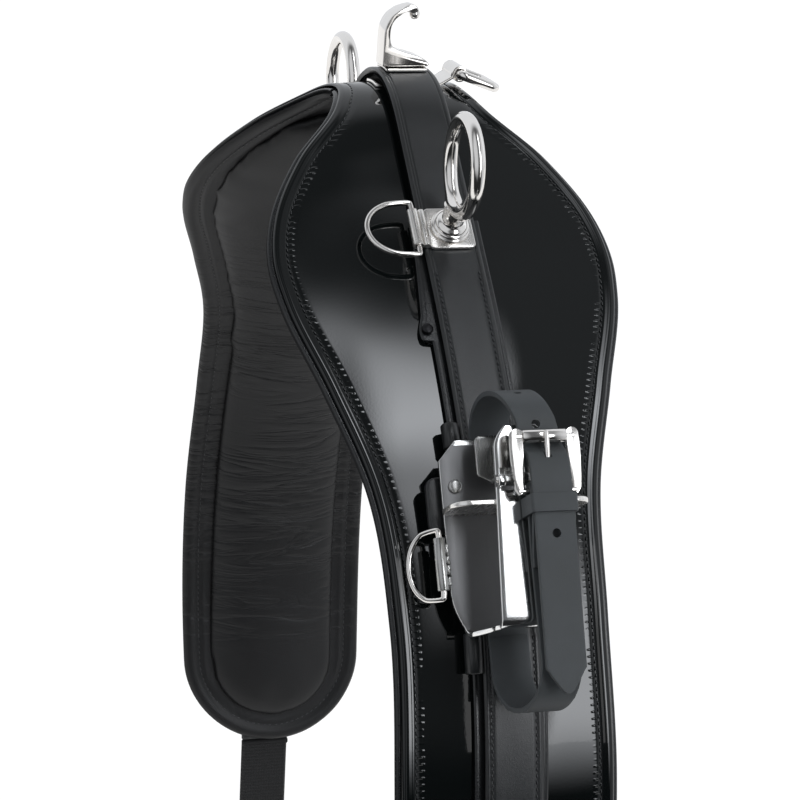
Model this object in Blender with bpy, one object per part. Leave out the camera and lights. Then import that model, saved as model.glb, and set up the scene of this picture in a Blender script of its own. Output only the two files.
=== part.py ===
# A quick-hitch driving harness saddle. Metres, +Z up, +X towards the horse's tail, -Y its near side.
# The origin is on the underside of the arch's top, where the saddle rests on the back.

import math

import bmesh
import bpy
import numpy as np
from mathutils import Matrix, Vector

mm = 0.001

# Clearances
touch_gap = 0.3 * mm
turn_gap = 0.3 * mm
bolt_gap = 0.3 * mm

# The shape of the back under the skirt: distance down from the ridge, and how steeply it falls in degrees
back_falls = (
    (0 * mm, 0), (34 * mm, 36), (80 * mm, 42), (140 * mm, 42), (200 * mm, 48),
    (280 * mm, 59), (375 * mm, 76), (480 * mm, 94), (568 * mm, 101),
)
# The panel's outline: distance down from the ridge, and its half width
panel_edges = (
    (0 * mm, 34 * mm), (26 * mm, 41 * mm), (60 * mm, 66.5 * mm), (100 * mm, 86 * mm),
    (124 * mm, 90 * mm), (148 * mm, 88 * mm), (201 * mm, 73 * mm), (254 * mm, 58.5 * mm),
    (321 * mm, 54 * mm), (401 * mm, 55 * mm), (482 * mm, 55 * mm), (568 * mm, 53 * mm),
)
panel_length = 568 * mm
panel_forward = 2.5 * mm
panel_back = 5 * mm
panel_round = 52 * mm
rim_width = 2.5 * mm
rim_thickness = 5 * mm
pad_height = 14 * mm
pad_inset = 17 * mm
pad_roll = 12 * mm
pad_top = 40 * mm
skirt_thickness = 3 * mm

# The steel tree under the skirt
tree_width = 40 * mm
tree_thickness = 2.5 * mm
tree_reach = 150 * mm

# The strap over the saddle and its backing
strap_width = 30 * mm
strap_thickness = 4.4 * mm
backing_width = 38 * mm
backing_thickness = 3 * mm
backing_start = 104 * mm
backing_short = 2 * mm

# The backing's tab in front of the strap, and the stud through its end
tab_start = 128 * mm
tab_end = 176 * mm
tab_out = 25 * mm
stud_arc = 170 * mm
stud_forward = 21 * mm
stud_diameter = 4 * mm
stud_head = 6 * mm
stud_head_height = 2.4 * mm

# Girth billets
billet_width = 30 * mm
billet_thickness = 4 * mm
billet_length = 200 * mm
billet_tip = 14 * mm
billet_hole = 4.5 * mm
billet_hole_pitch = 25 * mm
billet_first_hole = 30 * mm
billet_holes = 5
billet_slope = 90
billet_point = 0.35

# Bolts
bolt_diameter = 5 * mm
nut_diameter = 10 * mm
nut_thickness = 3 * mm
nut_recess = 3 * mm

# The water hook
hook_length = 26 * mm
hook_width = 14 * mm
hook_height = 34.5 * mm
hook_stem = 4 * mm
hook_bend = 8 * mm
hook_thickness = 4 * mm
hook_tip = 18 * mm, 6.5 * mm
hook_foot_radius = 9 * mm
hook_foot_height = 17 * mm
hook_toe = (
    (17 * mm, 6.8 * mm), (22.5 * mm, 4.8 * mm), (25.4 * mm, 3.4 * mm), (26 * mm, 2 * mm), (25.5 * mm, 0),
)
hook_tip_width = 6 * mm
hook_ball = 6.4 * mm
hook_plate_length = 23 * mm
hook_plate_width = 15 * mm
hook_plate_thickness = 1.6 * mm

# The crupper clip and its loop
clip_width = 19 * mm
clip_thickness = 1.6 * mm
clip_front = 17 * mm
clip_eye_out = 29.8 * mm
clip_eye_up = 1.7 * mm
clip_columns = 8
loop_wire = 5 * mm
loop_width = 31 * mm
loop_length = 23.5 * mm
loop_corner = 3 * mm
loop_droop = 20

# The terrets
terret_arc = 113 * mm
terret_plate_length = 24.5 * mm
terret_plate_width = 24.5 * mm
terret_plate_thickness = 2 * mm
terret_plate_corner = 2.5 * mm
terret_ring = 46 * mm
terret_wire = 7.5 * mm
terret_centre_out = 44 * mm
terret_collar = 20 * mm
terret_collar_height = 2 * mm
terret_dome = 16 * mm
terret_dome_height = 6 * mm
terret_neck = 7.5 * mm
terret_upright = 28
dee_wire = 3 * mm
dee_corner = 5 * mm
terret_dee_height = 35 * mm
terret_dee_depth = 27 * mm
terret_dee_out = 18.4 * mm
dee_eye_wall = 1.2 * mm
terret_eye_length = 22 * mm

# The coupler
coupler_arc = 284 * mm
coupler_lean = 2
coupler_sheet = 2.5 * mm
coupler_height = 98 * mm
coupler_half = 32 * mm
coupler_top_half = 23 * mm
coupler_corner = 10 * mm
coupler_foot_half = 28 * mm
coupler_foot_rise = 20 * mm
coupler_throat = 30 * mm
coupler_bend = 4 * mm
coupler_front_half = 14 * mm
coupler_front_low_half = 17.5 * mm
coupler_lip = 22 * mm
coupler_lip_flare = 1.6 * mm
coupler_standoff = 7.8 * mm
shelf_half = 35 * mm
shelf_above_middle = 12.5 * mm
shelf_thickness = 2.5 * mm
shelf_end_round = 9 * mm
pad_bar_width = 76 * mm
pad_bar_height = 28 * mm
pad_bar_above_middle = 18 * mm
pad_bar_corner = 5 * mm
coupler_bolt_out = 25 * mm
coupler_bolt_above_middle = 26 * mm
coupler_bolt_head = 7 * mm
coupler_bolt_head_height = 1.4 * mm
coupler_bolt_foot = 1.6 * mm
coupler_bolt_shank = 4.4 * mm

# The coupler's latch
latch_above_middle = 22 * mm
latch_barrel = 6.4 * mm
latch_barrel_length = 12 * mm
latch_barrel_rear = 0.4 * mm
latch_pin_diameter = 3 * mm
latch_pin_length = 20 * mm
latch_sheet = 2 * mm
latch_depth = 17 * mm
latch_rise = 24 * mm
latch_above_arm = 4 * mm
latch_point = 5 * mm
latch_half = 17 * mm
latch_arm_half = 5 * mm
latch_lug = 2.6 * mm
lug_half = 3 * mm

# The coupler's dee
coupler_dee_height = 37 * mm
coupler_dee_depth = 20.5 * mm
coupler_dee_below_middle = 12 * mm
coupler_eye_length = 26 * mm
coupler_dee_swing = 50

# The safety strap round the coupler, and its buckle
safety_width = 20 * mm
safety_thickness = 2.5 * mm
safety_inner_shift = -4 * mm
safety_outer_shift = 8.5 * mm
safety_top_rise = 19 * mm
safety_bottom_drop = 38 * mm
safety_turn = 21 * mm
safety_tail_drop = 34 * mm
safety_tip = 10 * mm
safety_hole = 4.4 * mm
tail_hole_above_middle = -7 * mm
buckle_wire = 3.2 * mm
buckle_width = 33 * mm
buckle_height = 26.5 * mm
buckle_corner = 4 * mm
buckle_above_middle = 28 * mm
roller_diameter = 6.6 * mm
roller_length = 22 * mm
roller_forward = 1.3 * mm
prong_wire = 2.4 * mm
prong_eye_wall = 1.2 * mm
prong_past = 2 * mm
slot_clearance = 0.9 * mm
keeper_height = 9 * mm
keeper_wall = 1.5 * mm
keeper_above_middle = 7.75 * mm
chape_taper = 20 * mm

# Rolled loops beside the strap, above and below the coupler: distance down from the ridge, and length
rolled_loops = {"upper": (231 * mm, 13 * mm), "lower": (337 * mm, 20 * mm)}
rolled_loop_diameter = 9 * mm
rolled_loop_wall = 1.8 * mm

sides = {"near": -1, "far": 1}


# Clear the scene
for old in list(bpy.data.objects):
    bpy.data.objects.remove(old, do_unlink=True)


# Materials
def material(name, color, roughness, metallic=0.0, coat=0.0):
    made = bpy.data.materials.new(name)
    made.use_nodes = True
    shader = made.node_tree.nodes["Principled BSDF"]
    shader.inputs["Base Color"].default_value = (*color, 1)
    shader.inputs["Roughness"].default_value = roughness
    shader.inputs["Metallic"].default_value = metallic
    shader.inputs["Coat Weight"].default_value = coat
    made.diffuse_color = (*color, 1)
    return made


patent = material("patent_leather", (0.008, 0.011, 0.012), 0.12, 0, 1)
strap_leather = material("strap_leather", (0.022, 0.025, 0.027), 0.42)
lining_leather = material("lining_leather", (0.018, 0.018, 0.019), 0.6)
soft_strap = material("soft_strap", (0.055, 0.06, 0.065), 0.62)
webbing = material("webbing", (0.01, 0.01, 0.011), 0.9)
polished = material("polished_steel", (0.78, 0.78, 0.77), 0.08, 1)
tree_steel = material("tree_steel", (0.05, 0.05, 0.055), 0.5, 1)


# Curves through hand-chosen points
def smooth_curve(points, odd):
    first = points[1]
    mirrored = (-first[0], -first[1] if odd else first[1])
    x, y = np.array([mirrored, *points], float).T
    rate = np.gradient(y, x)

    def value(at):
        at = np.clip(at, x[0], x[-1])
        i = np.clip(np.searchsorted(x, at) - 1, 0, len(x) - 2)
        span = x[i + 1] - x[i]
        u = (at - x[i]) / span
        start = (1 + 2 * u) * (1 - u) ** 2 * y[i] + u * (1 - u) ** 2 * span * rate[i]
        end = u * u * (3 - 2 * u) * y[i + 1] - u * u * (1 - u) * span * rate[i + 1]
        return start + end

    return value


falls = smooth_curve(back_falls, odd=True)
edge_curve = smooth_curve(panel_edges, odd=False)
arc_step = 1 * mm
arcs = np.arange(0, panel_length + billet_length, arc_step)
arc_angles = np.radians(falls(arcs + arc_step / 2))
arc_runs = np.concatenate([[0], np.cumsum(np.cos(arc_angles) * arc_step)])
arc_drops = np.concatenate([[0], np.cumsum(np.sin(arc_angles) * arc_step)])
arc_ends = np.concatenate([arcs, [arcs[-1] + arc_step]])
ridge_height = rim_thickness + touch_gap


# The back's surface: arc is negative on the near side, and out is measured from the skirt's underside
def slope_at(arc):
    return math.radians(float(falls(abs(arc))))


def back_point(x, arc, out):
    side = -1 if arc < 0 else 1
    angle = slope_at(arc)
    run = np.interp(abs(arc), arc_ends, arc_runs) + out * math.sin(angle)
    drop = np.interp(abs(arc), arc_ends, arc_drops) - out * math.cos(angle)
    return Vector((x, side * run, ridge_height - drop))


# A place on the back: local x is the world's, local y points up the slope and local z away from the horse
def back_place(side, arc, out, angle=None):
    angle = slope_at(arc) if angle is None else angle
    up = Vector((0, -side * math.cos(angle), math.sin(angle)))
    away = Vector((0, side * math.sin(angle), math.cos(angle)))
    place = Matrix.Identity(4)
    place.col[0] = (1, 0, 0, 0)
    place.col[1] = (*up, 0)
    place.col[2] = (*away, 0)
    place.col[3] = (*back_point(0, side * arc, out), 1)
    return place


# The panels sit a little forward at the top and a little back at the lower end
def panel_shift(arc):
    return panel_back * (arc / panel_length) ** 2 - panel_forward


def half_width(arc, outset=0.0):
    arc = abs(arc)
    width = float(edge_curve(arc)) + outset
    start = panel_length - panel_round
    if arc > start:
        part = min((arc - start) / (panel_round + outset), 1)
        width *= math.sqrt(max(1 - part * part, 0))
    return width


# Turns local z to local x, swaps local y and z, and swaps local x and y
along_x = Matrix.Rotation(math.pi / 2, 4, "Y")
swap_yz = Matrix(((1, 0, 0, 0), (0, 0, 1, 0), (0, 1, 0, 0), (0, 0, 0, 1)))
swap_xy = Matrix(((0, 1, 0, 0), (1, 0, 0, 0), (0, 0, 1, 0), (0, 0, 0, 1)))


# Meshes
def slab(outer, inner):
    rows, columns = len(outer), len(outer[0])
    bm = bmesh.new()
    top = [[bm.verts.new(p) for p in row] for row in outer]
    low = [[bm.verts.new(p) for p in row] for row in inner]
    for i in range(rows - 1):
        for j in range(columns - 1):
            bm.faces.new((top[i][j], top[i][j + 1], top[i + 1][j + 1], top[i + 1][j]))
            bm.faces.new((low[i][j], low[i + 1][j], low[i + 1][j + 1], low[i][j + 1]))
    for i in range(rows - 1):
        for j in (0, columns - 1):
            bm.faces.new((top[i][j], top[i + 1][j], low[i + 1][j], low[i][j]))
    for j in range(columns - 1):
        for i in (0, rows - 1):
            bm.faces.new((top[i][j], top[i][j + 1], low[i][j + 1], low[i][j]))
    return bm


def prism(outline, start, end):
    bm = bmesh.new()
    face = bm.faces.new([bm.verts.new((x, y, start)) for x, y in outline])
    made = bmesh.ops.extrude_face_region(bm, geom=[face])["geom"]
    raised = [v for v in made if isinstance(v, bmesh.types.BMVert)]
    bmesh.ops.translate(bm, vec=(0, 0, end - start), verts=raised)
    return bm


def corners_of(low, high):
    return [(low[0], low[1]), (high[0], low[1]), (high[0], high[1]), (low[0], high[1])]


def block(low, high):
    return prism(corners_of(low, high), low[2], high[2])


def turned(profile, steps, place=Matrix.Identity(4)):
    bm = bmesh.new()
    rings = []
    for radius, height in profile:
        if radius == 0:
            rings.append([bm.verts.new((0, 0, height))])
            continue
        turns = [2 * math.pi * i / steps for i in range(steps)]
        rings.append([bm.verts.new((radius * math.cos(a), radius * math.sin(a), height)) for a in turns])
    for low, high in zip(rings, rings[1:]):
        for i in range(steps):
            j = (i + 1) % steps
            corners = [low[i % len(low)], low[j % len(low)], high[j % len(high)], high[i % len(high)]]
            bm.faces.new(list(dict.fromkeys(corners)))
    if len(rings[0]) > 1 and len(rings[-1]) > 1:
        bm.faces.new(rings[0])
        bm.faces.new(rings[-1])
    bm.transform(place)
    return bm


def bushing(outer, inner, length, steps, place):
    half = length / 2
    bm = bmesh.new()
    rings = []
    for radius, height in ((inner, -half), (outer, -half), (outer, half), (inner, half)):
        turns = [2 * math.pi * i / steps for i in range(steps)]
        rings.append([bm.verts.new((radius * math.cos(a), radius * math.sin(a), height)) for a in turns])
    for low, high in zip(rings, rings[1:] + rings[:1]):
        for i in range(steps):
            j = (i + 1) % steps
            bm.faces.new((low[i], low[j], high[j], high[i]))
    bm.transform(place)
    return bm


def wire(points, radius, sides=8, closed=False, flat=None):
    points = [Vector(p) for p in points]
    count = len(points)
    bm = bmesh.new()
    rings = []
    across = None
    for i, point in enumerate(points):
        before = points[i - 1] if closed or i else point
        after = points[(i + 1) % count] if closed or i < count - 1 else point
        along = (after - before).normalized()
        if flat is not None:
            across = Vector(flat)
        elif across is None:
            across = along.orthogonal()
        across = (across - along * across.dot(along)).normalized()
        beside = along.cross(across)
        ring = []
        for k in range(sides):
            a = 2 * math.pi * (k + 0.5) / sides
            ring.append(bm.verts.new(point + radius * (math.cos(a) * across + math.sin(a) * beside)))
        rings.append(ring)
    pairs = list(zip(rings, rings[1:]))
    if closed:
        pairs.append((rings[-1], rings[0]))
    for low, high in pairs:
        for k in range(sides):
            m = (k + 1) % sides
            bm.faces.new((low[k], low[m], high[m], high[k]))
    if not closed:
        bm.faces.new(rings[0])
        bm.faces.new(rings[-1])
    return bm


def arc_points(centre, radius, start, end, steps):
    angles = [math.radians(start + (end - start) * i / steps) for i in range(steps + 1)]
    return [(centre[0] + radius * math.cos(a), centre[1] + radius * math.sin(a)) for a in angles]


def rounded(corners, radius, steps=4):
    outline = []
    for i, corner in enumerate(corners):
        here = Vector(corner)
        back = (Vector(corners[i - 1]) - here).normalized()
        on = (Vector(corners[(i + 1) % len(corners)]) - here).normalized()
        half = back.angle(on) / 2
        centre = here + (back + on).normalized() * radius / math.sin(half)
        from_point = here + back * radius / math.tan(half) - centre
        to_point = here + on * radius / math.tan(half) - centre
        for k in range(steps + 1):
            reach = from_point.lerp(to_point, k / steps).normalized() * radius
            outline.append(tuple(centre + reach))
    return outline


# A band along a path in the local y-z plane, with its half width and sideways shift at each point
def band(path, halves, shifts, thickness, columns=2):
    outer, inner = [], []
    points = [Vector(p) for p in path]
    for i, point in enumerate(points):
        along = (points[min(i + 1, len(points) - 1)] - points[max(i - 1, 0)]).normalized()
        normal = Vector((-along.y, along.x)) * thickness / 2
        across = [shifts[i] + halves[i] * (2 * k / (columns - 1) - 1) for k in range(columns)]
        outer.append([(x, *(point + normal)) for x in across])
        inner.append([(x, *(point - normal)) for x in across])
    return slab(outer, inner)


def to_object(name, bm, look, place=None, origin=(0, 0, 0), smooth=True):
    if place is not None:
        bm.transform(place)
    bmesh.ops.translate(bm, vec=-Vector(origin), verts=bm.verts)
    bmesh.ops.recalc_face_normals(bm, faces=bm.faces)
    data = bpy.data.meshes.new(name)
    bm.to_mesh(data)
    bm.free()
    data.materials.append(look)
    if smooth:
        data.shade_smooth()
        data.set_sharp_from_angle(angle=math.radians(35))
    made = bpy.data.objects.new(name, data)
    made.location = origin
    bpy.context.scene.collection.objects.link(made)
    return made


def helper(name, bm, place=None):
    made = to_object(name, bm, tree_steel, place)
    made.hide_render = True
    made.display_type = "WIRE"
    return made


def combine(target, other, operation):
    step = target.modifiers.new(other.name, "BOOLEAN")
    step.operation = operation
    step.solver = "EXACT"
    step.object = other


# Rows at the same arcs in every layer, so that the layers stay parallel
ridge_pitch = 8 * mm
side_pitch = 16 * mm
ridge_rows = 8
row_margin = 2 * mm


def rows_between(start, end, first=0):
    marks = [first + ridge_pitch * i for i in range(ridge_rows + 1)]
    while marks[-1] < panel_length + billet_length:
        marks.append(marks[-1] + side_pitch)
    both = sorted({-m for m in marks} | set(marks))
    low, high = min(start, end), max(start, end)
    kept = [low] + [m for m in both if low + row_margin < m < high - row_margin] + [high]
    return kept if start < end else kept[::-1]


# Heights of the layers above the skirt's underside
skirt_top = skirt_thickness
backing_low = skirt_top + touch_gap
backing_top = backing_low + backing_thickness
strap_low = backing_top + touch_gap
strap_top = strap_low + strap_thickness
tree_top = -touch_gap
tree_low = tree_top - tree_thickness
plate_low = strap_top + touch_gap


# Bolt holes through the layers, one cutter each
def bolt_cutter(name, place, low, high):
    radius = bolt_diameter / 2 + bolt_gap
    bm = turned([(radius, low), (radius, high)], 16)
    return helper(name, bm, place)


ridge_place = back_place(1, 0, 0)
hook_hole = bolt_cutter("hook_hole", ridge_place, -30 * mm, 20 * mm)
terret_places = {}
terret_holes = {}
ridge_radius = nut_diameter / 2 + nut_recess
ridge_recess = turned([(ridge_radius, -30 * mm), (ridge_radius, -touch_gap / 2)], 20)
recesses = {"ridge": helper("ridge_recess", ridge_recess, ridge_place)}
for label, side in sides.items():
    terret_places[label] = back_place(side, terret_arc, 0)
    terret_holes[label] = bolt_cutter(f"{label}_terret_hole", terret_places[label], -9 * mm, 20 * mm)
    recess_low = tree_low - nut_thickness - 2 * touch_gap
    radius = nut_diameter / 2 + nut_recess / 2
    recess = turned([(radius, recess_low), (radius, -touch_gap / 2)], 20)
    recesses[label] = helper(f"{label}_nut_recess", recess, terret_places[label])


# The tree, a steel arch under the skirt
def back_band(half, low, high, start, end, first=0):
    outer, inner = [], []
    for arc in rows_between(start, end, first):
        outer.append([back_point(x, arc, high) for x in (-half, half)])
        inner.append([back_point(x, arc, low) for x in (-half, half)])
    return slab(outer, inner)


tree_mesh = back_band(tree_width / 2, tree_low, tree_top, -tree_reach, tree_reach)
tree = to_object("tree_arch", tree_mesh, tree_steel)
for cutter in (hook_hole, *terret_holes.values()):
    combine(tree, cutter, "DIFFERENCE")
# Its rows lie between the panel's, so that no two edges meet in one point
tree_space_mesh = back_band(
    tree_width / 2 + touch_gap, tree_low - touch_gap, touch_gap,
    -tree_reach - touch_gap, tree_reach + touch_gap, ridge_pitch / 2,
)
tree_space = helper("tree_space", tree_space_mesh)


# The patent skirt, one piece from tip to tip
def panel_arcs(start, outset=0.0):
    straight = rows_between(start, panel_length - panel_round)
    ends = []
    for i in range(1, 7):
        turn = math.radians(84 * i / 6)
        ends.append(panel_length - panel_round + (panel_round + outset) * math.sin(turn))
    return straight + ends


def skirt_mesh():
    down = panel_arcs(0)
    outer, inner = [], []
    for arc in [-a for a in reversed(down[1:])] + down:
        half = half_width(arc)
        bevel = min(1.2 * mm, half / 4)
        across = [-half, -half + bevel, half - bevel, half]
        heights = [skirt_top - 0.8 * mm, skirt_top, skirt_top, skirt_top - 0.8 * mm]
        shift = panel_shift(arc)
        outer.append([back_point(x + shift, arc, h) for x, h in zip(across, heights)])
        inner.append([back_point(x + shift, arc, 0) for x in across])
    return slab(outer, inner)


skirt = to_object("patent_skirt", skirt_mesh(), patent)
for cutter in (hook_hole, *terret_holes.values()):
    combine(skirt, cutter, "DIFFERENCE")


# The padded panels, with a stitched rim, a rounded pad and a flat space for the tree
def pad_rise(arc, edge_distance):
    rise = 1.0
    for distance in (edge_distance - pad_inset, arc - pad_top):
        part = min(max(distance / pad_roll, 0), 1)
        rise *= math.sqrt(1 - (1 - part) ** 2)
    return rise


def panel_mesh(side):
    down = panel_arcs(2 * touch_gap, rim_width)
    outer, inner = [], []
    for arc in down:
        half = half_width(arc, rim_width)
        straight_half = float(edge_curve(arc)) + rim_width
        rolled = half / straight_half
        rings = [0, pad_inset, pad_inset + 0.12 * pad_roll, pad_inset + 0.4 * pad_roll, pad_inset + pad_roll]
        marks = [straight_half - ring for ring in rings if ring < straight_half - 3 * mm]
        while len(marks) < len(rings):
            marks.append(marks[-1] / 2)
        across = [-m * rolled for m in marks] + [0] + [m * rolled for m in reversed(marks)]
        past = max(arc - (panel_length - panel_round), 0) / (panel_round + rim_width)
        top_row, low_row = [], []
        for x in across:
            spread = math.hypot(x / straight_half, past)
            distance = (1 - spread) * (straight_half if past == 0 else (straight_half + panel_round) / 2)
            rise = pad_rise(arc, distance)
            crown = 1 - 0.15 * min(abs(x) / straight_half, 1) ** 2
            depth = rim_thickness + pad_height * rise * crown
            top_row.append(back_point(x + panel_shift(arc), side * arc, -touch_gap))
            low_row.append(back_point(x + panel_shift(arc), side * arc, -touch_gap - depth))
        outer.append(top_row)
        inner.append(low_row)
    return slab(outer, inner)


for label, side in sides.items():
    panel = to_object(f"{label}_panel", panel_mesh(side), lining_leather)
    for cutter in (tree_space, recesses["ridge"], recesses[label]):
        combine(panel, cutter, "DIFFERENCE")


# The strap over the saddle and the wider backing sewn under it
strap_end = panel_length + 4 * mm
strap_mesh = back_band(strap_width / 2, strap_low, strap_top, -strap_end, strap_end)
strap = to_object("main_strap", strap_mesh, strap_leather)
for cutter in (hook_hole, *terret_holes.values()):
    combine(strap, cutter, "DIFFERENCE")


def tab_mesh(side):
    outer, inner = [], []
    for arc in rows_between(side * tab_start, side * tab_end):
        across = -tab_out, -backing_width / 2 + backing_short
        outer.append([back_point(x, arc, backing_top - touch_gap) for x in across])
        inner.append([back_point(x, arc, backing_low + touch_gap / 2) for x in across])
    return slab(outer, inner)


for label, side in sides.items():
    ends = side * backing_start, side * (panel_length - backing_short)
    backing_mesh = back_band(backing_width / 2, backing_low, backing_top, *ends)
    backing = to_object(f"{label}_strap_backing", backing_mesh, strap_leather)
    combine(backing, helper(f"{label}_tab", tab_mesh(side)), "UNION")
    combine(backing, terret_holes[label], "DIFFERENCE")
    seat = back_place(side, stud_arc, 0) @ Matrix.Translation((-stud_forward, 0, 0))
    bore = stud_diameter / 2 + bolt_gap
    stud_hole = turned([(bore, 0), (bore, backing_top + stud_head_height)], 12)
    combine(backing, helper(f"{label}_stud_hole", stud_hole, seat), "DIFFERENCE")
    shank, head = stud_diameter / 2, stud_head / 2
    base = backing_top + touch_gap
    profile = [
        (0, backing_low), (shank, backing_low), (shank, base), (head, base),
        (head, base + stud_head_height / 2), (head * 0.6, base + stud_head_height),
        (0, base + stud_head_height),
    ]
    to_object(f"{label}_strap_stud", turned(profile, 12), tree_steel, seat)


# Girth billets, hinged at the strap's end where the strap bends
def billet_outline():
    tip = -billet_length
    half = billet_width / 2
    point = half * billet_point
    left = [(-half, 0), (-half, tip + billet_tip), (-point, tip)]
    return left + [(-x, up) for x, up in reversed(left)]


for label, side in sides.items():
    radius = billet_thickness / 2
    knuckle_arc = strap_end + radius + touch_gap
    knuckle = back_place(side, knuckle_arc, (strap_low + strap_top) / 2, math.radians(billet_slope))
    axis_point = knuckle.translation.copy()
    flat = prism(billet_outline(), -radius, radius)
    billet = to_object(f"{label}_billet", flat, webbing, knuckle, axis_point)
    roll = turned([(radius, -billet_width / 2), (radius, billet_width / 2)], 12, along_x)
    roll_helper = helper(f"{label}_billet_roll", roll, knuckle)
    combine(billet, roll_helper, "UNION")
    for i in range(billet_holes):
        low = -billet_length + billet_first_hole + i * billet_hole_pitch
        spot = Matrix.Translation((0, low, 0))
        hole = turned([(billet_hole / 2, -billet_width), (billet_hole / 2, billet_width)], 10, spot)
        combine(billet, helper(f"{label}_billet_hole_{i}", hole, knuckle), "DIFFERENCE")


# The water hook, on a curved plate with a bolt through every layer
plate_top = plate_low + hook_plate_thickness
plate_ends = -hook_plate_width / 2, hook_plate_width / 2
hook_plate_mesh = back_band(hook_plate_length / 2, plate_low, plate_top, *plate_ends)
hook_plate = to_object("hook_plate", hook_plate_mesh, polished)
combine(hook_plate, hook_hole, "DIFFERENCE")


def hook_mesh():
    front = -hook_length / 2
    top = hook_height - hook_bend
    inner_bend = hook_bend - hook_thickness
    tip = Vector((front + hook_tip[0], hook_height - hook_tip[1]))
    outline = [(front, 0), (front, top / 2)]
    outline += arc_points((front + hook_bend, top), hook_bend, 180, 60, 8)
    outline += [tuple(tip + Vector((0.6 * mm, 2 * mm))), tuple(tip)]
    outline += arc_points((front + hook_bend + 1 * mm, top - 1 * mm), inner_bend + 1 * mm, 60, 180, 6)
    foot_centre = front + hook_stem + hook_foot_radius
    outline += arc_points((foot_centre, hook_foot_height), hook_foot_radius, 180, 240, 5)
    outline += [(front + x, up) for x, up in hook_toe]
    bm = prism(outline, -0.5, 0.5)
    for vert in bm.verts:
        near_tip = min(max((vert.co.y / hook_height - 0.45) / 0.4, 0), 1)
        vert.co.z *= hook_width + (hook_tip_width - hook_width) * near_tip
    bm.transform(Matrix.Rotation(math.pi / 2, 4, "X"))
    return bm, tip


hook_seat = back_place(1, 0, plate_low + hook_plate_thickness + touch_gap)
hook_place = Matrix.Translation(hook_seat.translation)
hook_body, hook_tip = hook_mesh()
hook = to_object("water_hook", hook_body, polished, hook_place)
ball = bmesh.new()
bmesh.ops.create_icosphere(ball, subdivisions=2, radius=hook_ball / 2)
bmesh.ops.translate(ball, vec=(hook_tip.x, 0, hook_tip.y), verts=ball.verts)
combine(hook, helper("hook_ball", ball, hook_place), "UNION")
hook_shank_low = tree_low - plate_low - hook_plate_thickness - 2 * touch_gap
shank_bottom = hook_shank_low - nut_thickness + 0.4 * mm
shank = turned([(bolt_diameter / 2, shank_bottom), (bolt_diameter / 2, 2 * mm)], 16)
combine(hook, helper("hook_shank", shank, hook_place), "UNION")


def nut_mesh(steps=24):
    inner = bolt_diameter / 2 + bolt_gap
    outer = nut_diameter / 2
    half_flat = math.pi / 6
    bm = bmesh.new()
    rings = []
    for radius, height in ((inner, 0), (outer, 0), (outer, -nut_thickness), (inner, -nut_thickness)):
        ring = []
        for i in range(steps):
            a = 2 * math.pi * i / steps
            reach = radius
            if radius == outer:
                reach = radius * math.cos(half_flat) / math.cos(a % (2 * half_flat) - half_flat)
            ring.append(bm.verts.new((reach * math.cos(a), reach * math.sin(a), height)))
        rings.append(ring)
    for low, high in zip(rings, rings[1:] + rings[:1]):
        for i in range(steps):
            j = (i + 1) % steps
            bm.faces.new((low[i], low[j], high[j], high[i]))
    return bm


nut_spot = Matrix.Translation(back_point(0, 0, tree_low - 2 * touch_gap))
to_object("hook_nut", nut_mesh(), polished, nut_spot)


# The crupper clip under the strap, and the loop that lies on the skirt behind it
clip_low = skirt_top + touch_gap
loop_bore = loop_wire / 2 + turn_gap
eye_height = back_point(0, 0, clip_low).z + loop_bore + clip_thickness + clip_eye_up
eye_centre = Vector((clip_eye_out, 0, eye_height))


def clip_mesh():
    low = back_point(0, 0, clip_low).z
    reach = loop_bore + clip_thickness / 2
    level = low + clip_thickness / 2
    path = [(-clip_front, level), (strap_width / 2, level)]
    path += [(eye_centre.x - reach * 1.1, eye_centre.z - reach * 0.5)]
    path += arc_points((eye_centre.x, eye_centre.z), reach, 175, -120, 12)
    half = clip_width / 2
    bm = band(path, [half] * len(path), [0] * len(path), clip_thickness, clip_columns)
    bm.transform(swap_xy)
    flat_from = eye_centre.x - 1.1 * reach
    for vert in bm.verts:
        flatness = min(max((vert.co.x - strap_width / 2) / (flat_from - strap_width / 2), 0), 1)
        sag = back_point(0, 0, clip_low).z - back_point(0, vert.co.y, clip_low).z
        vert.co.z -= sag * (1 - flatness)
    return bm


clip = to_object("crupper_clip", clip_mesh(), polished)
combine(clip, hook_hole, "DIFFERENCE")


def loop_mesh():
    half = loop_width / 2 - loop_wire / 2
    corner = loop_corner
    far = loop_length - loop_wire / 2
    outline = rounded([(0, -half), (far, -half), (far, half), (0, half)], corner, 4)
    return wire([(x, y, 0) for x, y in outline], loop_wire / 2, 8, True, (0, 0, 1))


loop_place = Matrix.Translation(eye_centre) @ Matrix.Rotation(math.radians(loop_droop), 4, "Y")
to_object("crupper_loop", loop_mesh(), polished, loop_place, eye_centre)


# A dee: its straight side lies on local y, its bow reaches towards local -x
def dee_mesh(height, depth, radius):
    half = height / 2 - radius
    reach = depth - radius
    corner = dee_corner
    bow = []
    for i in range(1, 12):
        a = math.pi * i / 12
        bow.append((-corner - (reach - corner) * math.sin(a) ** 0.9, half * math.cos(a)))
    points = [(-corner * 0.3, half), *bow, (-corner * 0.3, -half), (0, -half + corner * 0.4)]
    points += [(0, y) for y in (-half / 2, 0, half / 2, half - corner * 0.4)]
    return wire([(x, y, 0) for x, y in points], radius, 8, True, (0, 0, 1))


# The terrets, each on a plate with a rolled eye that holds a dee
terret_lean = slope_at(terret_arc) - math.radians(terret_upright)
terret_base = terret_plate_thickness + touch_gap
terret_turn = Matrix.Rotation(-terret_lean, 4, "X")


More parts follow.
